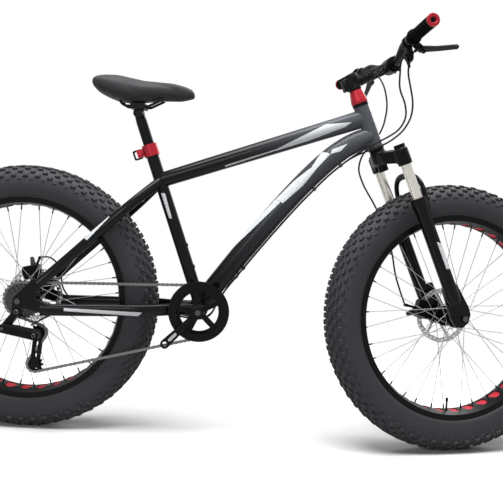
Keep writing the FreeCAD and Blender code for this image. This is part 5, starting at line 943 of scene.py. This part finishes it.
def make_bolt(radius, height, socket):
    """Round bolt head with a sunk socket, standing on Y 0 towards -Y."""
    bpy.ops.object.select_all(action="DESELECT")
    middle_up = (0, 0, height / 2)
    bpy.ops.mesh.primitive_cylinder_add(vertices=18, radius=radius, depth=height, location=middle_up)
    head = bpy.context.object
    choose_top(head)
    bpy.ops.mesh.bevel(offset=radius * BOLT_CHAMFER, segments=1, affect="EDGES")
    choose_top(head)
    bpy.ops.mesh.inset(thickness=radius * (1 - BOLT_CHAMFER) - socket, depth=0)
    bpy.ops.mesh.extrude_region_move(TRANSFORM_OT_translate={"value": (0, 0, -height * SOCKET_DEPTH)})
    object_mode()
    return place(head, Matrix.Rotation(math.radians(90), 4, "X"))


def make_rotor(name, centre, rotor_y, body, node):
    """Disc of one wheel with its bolts."""
    disc = plate(name, rotor_outlines(), ROTOR_THICKNESS, ROTOR_BEVEL)
    place(disc, Matrix.Translation((0, rotor_y, 0)))
    bolts = []
    for number in range(ROTOR_ARMS):
        x, z = polar(ROTOR_BOLT_CIRCLE, math.tau * (number + 0.5) / ROTOR_ARMS)
        spot = Matrix.Translation((x, rotor_y + ROTOR_THICKNESS / 2, z))
        bolts.append(place(make_bolt(*ROTOR_BOLT), spot @ HALF_TURN))
    bolt_set = smooth(fuse(name + "_bolts", bolts))
    dress(place(smooth(disc), centre), body, "bright_steel", replaces=[node])
    dress(place(bolt_set, centre), body, "black_alloy")


make_rotor("front_rotor_disc", FRONT, FRONT_ROTOR_Y, "front_wheel", "front_rotor")
make_rotor("rear_rotor_disc", REAR, REAR_ROTOR_Y, "rear_wheel", "rear_rotor")

# %% [markdown]
# ## Sprockets
# The chainring, the cassette cogs and the two pulleys are toothed plates. One function draws a tooth
# from seven points and repeats it, with the tooth count worked out from the pitch of a bicycle chain.

# %% Sprockets
CHAIN_PITCH = 0.0127
CHAIN_LINE = 0.058
TOOTH_TIP = 0.0034
TOOTH_ROOT = 0.0036
# Share of a tooth's step, and height over the pitch circle
TOOTH_SHAPE = [
    (-0.5, -TOOTH_ROOT), (-0.34, -TOOTH_ROOT * 0.6), (-0.2, TOOTH_TIP * 0.3), (-0.09, TOOTH_TIP),
    (0.09, TOOTH_TIP), (0.2, TOOTH_TIP * 0.3), (0.34, -TOOTH_ROOT * 0.6),
]
TOOTH_BEVEL = 0.0003
RING_PITCH_RADIUS = 0.0728
RING_BORE = 0.0545
RING_THICKNESS = 0.002
HOLE_POINTS = 12


def tooth_ring(pitch_radius):
    """Outline of a sprocket with rounded gaps between narrow teeth."""
    count = round(math.tau * pitch_radius / CHAIN_PITCH)
    step = math.tau / count
    return [polar(pitch_radius + rise, (number + share) * step) for number in range(count)
            for share, rise in TOOTH_SHAPE]


def hole_ring(count, radius, reach):
    """Outlines of round holes on a circle."""
    spots = [polar(reach, math.tau * number / count) for number in range(count)]
    return [circle(radius, HOLE_POINTS, *spot) for spot in spots]


ring_outlines = [tooth_ring(RING_PITCH_RADIUS), circle(RING_BORE, count=72)]
ring = plate("chainring_teeth", ring_outlines, RING_THICKNESS, TOOTH_BEVEL)
place(ring, CRANK_CENTRE @ Matrix.Translation((0, -CHAIN_LINE, 0)))
dress(smooth(ring), "crankset", "bright_steel", finishes["black_alloy"], replaces=["chainring"])

# %% [markdown]
# ## Cassette and pulleys
# Seven cogs sit on one sleeve, the larger ones with holes that save weight, and two small pulleys of
# moulded plastic guide the chain through the cage. All of them are drawn like the chainring.

# %% Cassette and pulleys
COG_PITCH_RADIUS = 0.0485
COG_RADIUS_STEP = 0.004848
COG_SPACING = 0.0046
COG_COUNT = 7
CHAIN_COG = 1
COG_BORE = 0.0185
COG_THICKNESS = 0.0019
COG_HOLES = 8
COG_HOLE_RADIUS = 0.0042
HOLED_COG_RADIUS = 0.036
SLEEVE_PROFILE = [(0.01315, -0.0523), (0.0186, -0.0523), (0.0186, -0.0822), (0.01315, -0.0822)]
PULLEY_PITCH_RADIUS = 0.0222
PULLEY_BORE = 0.0032
PULLEY_THICKNESS = 0.0032
PULLEY_BEVEL = 0.0004
PULLEY_HOLES = 5
PULLEY_HOLE_RADIUS = 0.0033
PULLEY_HOLE_REACH = 0.0108
# Pulley centres as X and Z from the rear axle, and then from the ground under it
LOWER_PIVOT = (0.050, -0.091)
CAGE_END = (0.040, -0.181)
GUIDE = (LOWER_PIVOT[0], TYRE_RADIUS + LOWER_PIVOT[1])
TENSION = (CAGE_END[0], TYRE_RADIUS + CAGE_END[1])

cogs = []
for number in range(COG_COUNT):
    radius = COG_PITCH_RADIUS - COG_RADIUS_STEP * (number - CHAIN_COG)
    outlines = [tooth_ring(radius), circle(COG_BORE, count=40)]
    if radius > HOLED_COG_RADIUS:
        outlines += hole_ring(COG_HOLES, COG_HOLE_RADIUS, (radius + COG_BORE) / 2)
    cog = plate("cog", outlines, COG_THICKNESS, TOOTH_BEVEL)
    shelf = -(CHAIN_LINE + COG_SPACING * (number - CHAIN_COG))
    cogs.append(place(cog, Matrix.Translation((0, shelf, 0))))
cogs.append(spun("cog_sleeve", SLEEVE_PROFILE, steps=40))
cassette = place(smooth(fuse("cassette_cogs", cogs)), REAR)
dress(cassette, "cogs", "bright_steel", finishes["cassette_steel"], replaces=["cassette"])

for name, (x, z), body in (
        ("guide_pulley", GUIDE, "pulley_guide"),
        ("tension_pulley", TENSION, "pulley_tension")):
    outlines = [tooth_ring(PULLEY_PITCH_RADIUS), circle(PULLEY_BORE, count=20)]
    outlines += hole_ring(PULLEY_HOLES, PULLEY_HOLE_RADIUS, PULLEY_HOLE_REACH)
    wheel = plate(name + "_teeth", outlines, PULLEY_THICKNESS, PULLEY_BEVEL)
    place(wheel, BIKE @ Matrix.Translation((x, -CHAIN_LINE, z)))
    dress(smooth(wheel), body, "black_plastic", replaces=[name])

# %% [markdown]
# ## Chain line
# A chain runs straight from one sprocket to the next and bends round each of them. Its line is worked
# out from the four pitch circles: straight runs that touch each pair of them, and the arcs between
# these runs.

# %% Chain line
# Centre in X and Z, and pitch radius, which is negative where the chain goes round clockwise
CHAIN_CENTRES = [
    (Vector((0, TYRE_RADIUS)), -COG_PITCH_RADIUS),
    (Vector(BRACKET), -RING_PITCH_RADIUS),
    (Vector(TENSION), -PULLEY_PITCH_RADIUS),
    (Vector(GUIDE), PULLEY_PITCH_RADIUS),
]


def chain_runs():
    """Where the line leaves each circle and reaches the next one, in X and Z."""
    runs = []
    for index, (centre, radius) in enumerate(CHAIN_CENTRES):
        next_centre, next_radius = CHAIN_CENTRES[(index + 1) % len(CHAIN_CENTRES)]
        way = next_centre - centre
        heading = math.atan2(way.y, way.x) + math.asin((radius - next_radius) / way.length)
        right = Vector((math.sin(heading), -math.cos(heading)))
        runs.append((centre + right * radius, next_centre + right * next_radius))
    return runs


def chain_point(distance):
    """Point at a distance along the closed line and the length before its run or arc.

    Past the end, it is None and the whole length.
    """
    travelled = 0.0
    runs = chain_runs()
    for index, (leave, arrive) in enumerate(runs):
        straight = (arrive - leave).length
        if distance <= travelled + straight:
            return leave.lerp(arrive, (distance - travelled) / straight), travelled
        travelled += straight
        centre, radius = CHAIN_CENTRES[(index + 1) % len(runs)]
        depart = runs[(index + 1) % len(runs)][0]
        first = math.atan2(arrive.y - centre.y, arrive.x - centre.x)
        last = math.atan2(depart.y - centre.y, depart.x - centre.x)
        sense = 1 if radius > 0 else -1
        sweep = ((last - first) * sense) % math.tau
        if distance <= travelled + sweep * abs(radius):
            turn = first + sense * (distance - travelled) / abs(radius)
            return centre + Vector(polar(abs(radius), turn)), travelled
        travelled += sweep * abs(radius)
    return None, travelled


chain_length = chain_point(math.inf)[1]
link_count = 2 * round(chain_length / CHAIN_PITCH / 2)
print("chain", link_count, "links,", round(chain_length, 3), "m")

# %% [markdown]
# ## Chain
# A chain is pairs of outer and inner plates on rollers. One link of each kind is modelled and copied
# along the line, which keeps every link the same.

# %% Chain
PLATE_THICKNESS = 0.0009
INNER_GAP = 0.0027
OUTER_GAP = 0.0038
PLATE_HALF_HEIGHT = 0.0041
WAIST_HALF_HEIGHT = 0.0029
ROLLER_RADIUS = 0.0036
PIN_RADIUS = 0.0018
PIN_BORE = 0.0004
END_STEPS = 4


def make_link(name, gap):
    """Two plates with a waist, and the roller at the link's first pin, along X from 0 to one pitch."""
    outline = []
    for end, start_angle in ((0.0, 90), (CHAIN_PITCH, -90)):
        for step in range(END_STEPS + 1):
            turn = math.radians(start_angle + 180 * step / END_STEPS)
            outline.append((end + PLATE_HALF_HEIGHT * math.cos(turn), PLATE_HALF_HEIGHT * math.sin(turn)))
        outline.append((CHAIN_PITCH / 2, -WAIST_HALF_HEIGHT if end == 0 else WAIST_HALF_HEIGHT))
    parts = []
    for side in (-1, 1):
        cheek = plate("cheek", [outline], PLATE_THICKNESS)
        parts.append(place(cheek, Matrix.Translation((0, side * gap, 0))))
    pin_half = OUTER_GAP + PLATE_THICKNESS
    profile = [(PIN_BORE, -pin_half), (PIN_RADIUS, -pin_half), (PIN_RADIUS, -INNER_GAP),
               (ROLLER_RADIUS, -INNER_GAP)]
    profile += [(radius, -along) for radius, along in reversed(profile)]
    parts.append(spun("roller", profile, steps=8))
    return smooth(fuse(name, parts))


patterns = [make_link("inner_link", INNER_GAP), make_link("outer_link", OUTER_GAP)]
links = []
for number in range(link_count):
    here = chain_point(chain_length * number / link_count)[0]
    there = chain_point(chain_length * ((number + 1) % link_count) / link_count)[0]
    way = there - here
    link_turn = Matrix.Rotation(-math.atan2(way.y, way.x), 4, "Y")
    spot = Matrix.Translation((here.x, -CHAIN_LINE, here.y)) @ link_turn
    links.append(place(duplicate(patterns[number % 2], "link"), BIKE @ spot))
for pattern in patterns:
    bpy.data.objects.remove(pattern)
chain = fuse("chain_links", links)
dress(chain, None, "bright_steel", finishes["chain_steel"], replaces=["chain"])
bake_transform(chain)

# %% [markdown]
# ## Grips
# Rubber grips have a wide flange at the inner end and close ribs. Both are round about the bar's outer
# runs, so one section with every rib in it is spun.

# %% Grips
BAR_HALF = 0.320
BAR_CENTRE = Vector((0.125, 0, 0.7035))
BAR_BEND = Vector((-0.005, 0.115, 0.026))
BAR_TIP = Vector((-0.024, BAR_HALF, 0.033))
GRIP_RADIUS = 0.0158
GRIP_LENGTH = 0.128
GRIP_BORE = 0.0111
GRIP_END_GAP = 0.001
GRIP_MIDDLE = BAR_HALF - GRIP_LENGTH / 2 - GRIP_END_GAP
# Radius of the flange, and distance from the grip's inner end
FLANGE = [(0.0188, 0.0), (0.0196, 0.001), (0.0196, 0.0035), (0.0186, 0.005), (GRIP_RADIUS, 0.007)]
RIB_MARGIN = 0.012
RIB_COUNT = 22
RIB_DEPTH = 0.0009
# Share of a rib's pitch, and depth of the groove there
GROOVE = [(0.0, 0.0), (0.2, RIB_DEPTH), (0.4, RIB_DEPTH), (0.6, 0.0)]
END_CHAMFER = 0.0008
END_CHAMFER_LENGTH = 0.002
ROUND_STEPS = 40


def bar_matrix(distance, side):
    """Frame on the bar's outer run with Y pointing outwards."""
    mirror = Vector((1, side, 1))
    bend = BAR_BEND * mirror
    tip = BAR_TIP * mirror
    out = (tip - bend).normalized()
    spot = bend + out * ((distance - abs(bend.y)) / abs(out.y))
    forward_way = out.cross(Vector((0, 0, 1))).normalized()
    return STEER @ axes(BAR_CENTRE + spot, out, out.cross(forward_way))


def grip_profile():
    """(radius, along) of the grip from its inner to its outer end."""
    half = GRIP_LENGTH / 2
    points = [(GRIP_BORE, -half)] + [(radius, -half + along) for radius, along in FLANGE]
    pitch = (GRIP_LENGTH - 2 * RIB_MARGIN) / RIB_COUNT
    for rib in range(RIB_COUNT):
        low = -half + RIB_MARGIN + rib * pitch
        points += [(GRIP_RADIUS - depth, low + pitch * share) for share, depth in GROOVE]
    points += [(GRIP_RADIUS, half - END_CHAMFER_LENGTH), (GRIP_RADIUS - END_CHAMFER, half)]
    return points + [(GRIP_BORE, half)]


sleeves = []
for side in (1, -1):
    sleeves.append(place(spun("grip", grip_profile(), ROUND_STEPS), bar_matrix(GRIP_MIDDLE, side)))
dress(smooth(fuse("ribbed_grips", sleeves)), "steering", "grip_rubber", replaces=["grips"])

# %% [markdown]
# ## Grip end caps
# A turned red ring holds each grip on, with a dark socket bolt sunk in its middle. The ring is spun
# from its section, and the bolt is made like those of the rotors.

# %% Grip end caps
CAP_PROFILE = [
    (0.0062, 0.0006), (0.0158, 0.0006), (0.0163, 0.0014), (0.0163, 0.004), (0.0152, 0.0055),
    (0.0088, 0.0058), (0.0078, 0.005), (0.0074, 0.0026), (0.0062, 0.0024),
]
CAP_BOLT = (0.0073, 0.0028, 0.0034)
CAP_BOLT_DEPTH = 0.0012

caps = []
plugs = []
for side in (1, -1):
    spot = bar_matrix(GRIP_MIDDLE + GRIP_LENGTH / 2, side)
    caps.append(place(spun("cap", CAP_PROFILE, ROUND_STEPS), spot))
    plug_spot = spot @ Matrix.Translation((0, CAP_BOLT_DEPTH, 0)) @ HALF_TURN
    plugs.append(place(make_bolt(*CAP_BOLT), plug_spot))
dress(smooth(fuse("end_cap_rings", caps)), "steering", "red_anodised", replaces=["grip_end_caps"])
dress(smooth(fuse("end_cap_bolts", plugs)), "steering", "black_alloy")

# %% [markdown]
# ## Derailleur
# The derailleur hangs on its bolt: an upper knuckle, two links side by side and a lower knuckle. The
# upper knuckle and the links are rounded plates drawn round two or three circles. The lower knuckle and
# the rear pivot's barrel are turned, because they are round.

# %% Derailleur
HANGER = (-0.003, -0.030)
REAR_PIVOT = (-0.038, -0.076)
HULL_POINTS = 24
KNUCKLE = [
    (0.002, -0.1055), (0.0095, -0.1055), (0.0128, -0.1035), (0.0135, -0.1), (0.0135, -0.072),
    (0.012, -0.0668), (0.002, -0.0668),
]
BARREL = [(0.0022, -0.106), (0.0062, -0.106), (0.0066, -0.1045), (0.0066, -0.069), (0.0022, -0.069)]
# Circles as X, Z and radius, place across the bike, thickness and bevel
DERAILLEUR_PLATES = {
    "upper_knuckle": ([(*HANGER, 0.0098), (*REAR_PIVOT, 0.0112)], -0.0815, 0.026, 0.004),
    "outer_link": ([(*REAR_PIVOT, 0.0125), (0.005, -0.079, 0.0145), (*LOWER_PIVOT, 0.0135)],
                   -0.0995, 0.012, 0.004),
    "inner_link": ([(*REAR_PIVOT, 0.0105), (*LOWER_PIVOT, 0.0115)], -0.074, 0.009, 0.003),
}
# X, Z, place across the bike and radius of the bolts
DERAILLEUR_BOLTS = [
    (*HANGER, -0.0945, 0.0072), (*REAR_PIVOT, -0.106, 0.0044), (*LOWER_PIVOT, -0.1055, 0.0068),
]
BOLT_HEIGHT = 0.0016
SOCKET_SHARE = 0.45


def hull(circles):
    """Outline round circles of (x, z, radius): the convex hull of their points."""
    points = sorted({point for x, z, radius in circles for point in circle(radius, HULL_POINTS, x, z)})
    outline = []
    for ordered in (points, points[::-1]):
        half_way = []
        for x, z in ordered:
            while len(half_way) > 1:
                (ax, az), (bx, bz) = half_way[-2:]
                if (bx - ax) * (z - az) - (bz - az) * (x - ax) > 0:
                    break
                half_way.pop()
            half_way.append((x, z))
        outline += half_way[:-1]
    return outline


def slab(name, circles, y, thickness, bevel, windows=()):
    """Rounded plate round circles, with windows drawn in the same way."""
    piece = plate(name, [hull(circles)] + [hull(window) for window in windows], thickness, bevel)
    return place(piece, Matrix.Translation((0, y, 0)))


def turned(name, spot, profile, steps=32):
    """A turned piece about Y at an (x, z) spot of the rear wheel's frame."""
    return place(spun(name, profile, steps), Matrix.Translation((spot[0], 0, spot[1])))


arms = [slab(name, *sizes) for name, sizes in DERAILLEUR_PLATES.items()]
arms += [turned("lower_knuckle", LOWER_PIVOT, KNUCKLE), turned("rear_barrel", REAR_PIVOT, BARREL)]
arm_set = place(smooth(fuse("derailleur_arms", arms)), REAR)
dress(arm_set, "frame", "black_alloy", replaces=["derailleur_body"])
screws = []
for x, z, y, radius in DERAILLEUR_BOLTS:
    screw = make_bolt(radius, BOLT_HEIGHT, radius * SOCKET_SHARE)
    screws.append(place(screw, Matrix.Translation((x, y, z))))
screw_set = place(smooth(fuse("derailleur_bolts", screws)), REAR)
dress(screw_set, "frame", "bright_steel", finishes["dark_steel"])

# %% [markdown]
# ## Derailleur cage
# Two thin plates with windows hold the pulleys between them, on a pin each. They swing about the lower
# knuckle, so they are a piece of their own.

# %% Derailleur cage
CAGE_CIRCLES = [(*LOWER_PIVOT, 0.0128), (0.0455, -0.135, 0.0085), (*CAGE_END, 0.0118)]
CAGE_WINDOWS = [
    [(0.0478, -0.113, 0.0042), (0.0446, -0.141, 0.0036)],
    [(0.0438, -0.1505, 0.0034), (0.0425, -0.16, 0.0034)],
]
CAGE_SIDES = (-0.0648, -0.0512)
PULLEY_PIN = [(0.0005, -0.064), (0.0029, -0.064), (0.0029, -0.052), (0.0005, -0.052)]
CAGE_THICKNESS = 0.0022
CAGE_BEVEL = 0.0005

cheeks = [slab("cheek", CAGE_CIRCLES, y, CAGE_THICKNESS, CAGE_BEVEL, CAGE_WINDOWS) for y in CAGE_SIDES]
cheeks += [turned("pulley_pin", spot, PULLEY_PIN, steps=16) for spot in (LOWER_PIVOT, CAGE_END)]
cage = place(smooth(fuse("cage_plates", cheeks)), REAR)
dress(cage, "cage", "black_alloy", replaces=["derailleur_cage"])

# %% [markdown]
# ## Crank inset
# A bright oval lies in the outer face of the right crank arm near its end. It is a thin plate drawn
# round two circles, like the derailleur's links.

# %% Crank inset
ARM_WAY = Vector((-0.6936, -0.7203))
ARM_FACE = -0.0872
INSET_REACH = (0.086, 0.108)
INSET_RADIUS = 0.0042

inset_ends = [ARM_WAY * reach for reach in INSET_REACH]
inset_circles = [(spot.x, spot.y, INSET_RADIUS) for spot in inset_ends]
inset = slab("crank_inset", inset_circles, ARM_FACE, thickness=0.0012, bevel=0.0003)
dress(place(smooth(inset), CRANK_CENTRE), "crankset", "bright_steel")

# %% [markdown]
# ## Castings
# Calipers, stem, clamps and cranks are forged or cast, so no edge on them is sharp. A copy of the CAD
# node is remeshed with fine voxels and smoothed, which rounds every edge at once. More rounds of
# smoothing give a softer edge.

# %% Castings
CAST_KEEP = 0.5
# CAD node, body, slot, voxel size and rounds of smoothing
CASTINGS = [
    ("rear_caliper", "frame", "black_alloy", 0.0011, 9),
    ("front_caliper", "fork_lower", "black_alloy", 0.0011, 9),
    ("stem", "steering", "black_alloy", 0.0012, 18),
    ("stem_faceplate", "steering", "black_alloy", 0.0009, 9),
    ("brake_lever_clamps", "steering", "black_alloy", 0.0009, 9),
    ("shifter_body", "steering", "black_plastic", 0.0009, 9),
    ("brake_lever_right", "lever_right", "black_alloy", 0.0009, 9),
    ("brake_lever_left", "lever_left", "black_alloy", 0.0009, 9),
    ("fork_crown", "steering", "black_alloy", 0.0014, 34),
    ("dropouts", "frame", "frame_paint", 0.0012, 9),
    ("crank_arms", "crankset", "black_alloy", 0.0013, 9),
]

for node, body, slot, voxel, rounds in CASTINGS:
    casting = copy_of(node, node + "_cast")
    remesh(casting, voxel)
    edit(casting)
    bpy.ops.mesh.vertices_smooth(factor=0.5, repeat=rounds)
    apply_modifier(casting, "DECIMATE", ratio=CAST_KEEP)
    dress(smooth(casting, degrees=50), body, slot, replaces=[node])

# %% [markdown]
# ## Cables
# The cables leave the bar and turn with it, while their far ends stay on the frame or the fork legs. A
# smoothed copy of each CAD cable stands in for it, on no body.

# %% Cables
# CAD node, the two bodies, and where the bend starts and ends in the steered frame
CABLES = [
    ("rear_brake_cable", "frame", "steering", (-0.02, -0.042, 0.504), (0.126, -0.078, 0.668)),
    ("shift_cable", "frame", "steering", (-0.02, -0.036, 0.516), (0.096, -0.058, 0.632)),
    ("front_brake_cable", "steering", "fork_lower", (-0.024, 0.05, 0.5), (-0.026, 0.074, 0.331)),
]

for node, first_body, second_body, start, end in CABLES:
    housing = smooth(copy_of(node, node + "_housing"))
    dress(housing, None, "black_plastic", finishes["cable_housing"], replaces=[node])
    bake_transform(housing)

# %% [markdown]
# ## Saddle
# The saddle is foam under a stretched cover that wraps over its base. Rounded sections are bridged from
# tail to nose and remeshed, which gives the even faces that a cloth run needs.

# %% Saddle
SECTION_POINTS = 24
SECTION_POWER = 0.72
PAD_VOXEL = 0.0045
# Place along the bike from the rear axle, top, bottom and half width of the saddle's sections
SADDLE_SECTIONS = [
    (0.1732, 0.6188, 0.604, 0.04), (0.1801, 0.627, 0.592, 0.056), (0.1936, 0.6315, 0.58, 0.067),
    (0.2136, 0.6324, 0.571, 0.0735), (0.2386, 0.6296, 0.5625, 0.0735), (0.2718, 0.6238, 0.5605, 0.064),
    (0.3154, 0.6166, 0.5645, 0.047), (0.3642, 0.6143, 0.57, 0.033), (0.4075, 0.6124, 0.5712, 0.0265),
    (0.4346, 0.6093, 0.5715, 0.0245), (0.4511, 0.603, 0.573, 0.021), (0.4596, 0.593, 0.577, 0.0135),
]


def rounded(value):
    """A sine or cosine bent towards a rounded square."""
    return math.copysign(abs(value) ** SECTION_POWER, value)


def saddle_section(x, top, bottom, half):
    """Closed rounded section across the saddle."""
    turns = [math.tau * number / SECTION_POINTS for number in range(SECTION_POINTS)]
    rise = (top - bottom) / 2
    return [(x, half * rounded(math.cos(turn)), bottom + rise + rise * rounded(math.sin(turn)))
            for turn in turns]


pad = fuse("saddle_cushion", [loop_mesh("section", saddle_section(*section)) for section in SADDLE_SECTIONS])
edit(pad)
bpy.ops.mesh.select_mode(type="EDGE")
bpy.ops.mesh.select_all(action="SELECT")
bpy.ops.mesh.bridge_edge_loops()
bpy.ops.mesh.select_all(action="SELECT")
bpy.ops.mesh.fill_holes(sides=0)
object_mode()
remesh(weld(place(pad, REAR)), PAD_VOXEL)
print("saddle", len(pad.data.polygons), "faces before the cushion swells")

# %% [markdown]
# ## Saddle cushion
# The cover swells over the foam. The shape is made a little smaller and blown up by a short cloth run,
# which bulges it more evenly than modelling by hand. How far a point may move is capped.

# %% Saddle cushion
PAD_SHRINK = 0.0025
PAD_ROUNDS = 3
PAD_PRESSURE = 4.0
PAD_CAP = 0.006
CLOTH_FRAMES = 20

edit(pad)
bpy.ops.transform.shrink_fatten(value=-PAD_SHRINK)
bpy.ops.mesh.vertices_smooth(factor=0.5, repeat=PAD_ROUNDS)
object_mode()
before = [vertex.co.copy() for vertex in pad.data.vertices]
cloth = pad.modifiers.new("cloth", "CLOTH")
cloth.settings.use_pressure = True
cloth.settings.uniform_pressure_force = PAD_PRESSURE
cloth.settings.effector_weights.gravity = 0
for number in range(1, CLOTH_FRAMES + 1):
    bpy.context.scene.frame_set(number)
pick(pad)
bpy.ops.object.modifier_apply(modifier="cloth")
bpy.context.scene.frame_set(1)
for vertex, start in zip(pad.data.vertices, before):
    move = vertex.co - start
    if move.length > PAD_CAP:
        vertex.co = start + move.normalized() * PAD_CAP
apply_modifier(pad, "SUBSURF", levels=1, render_levels=1)
dress(smooth(pad, degrees=60), "seat", "saddle_cover", replaces=["saddle_pad", "saddle_base"])
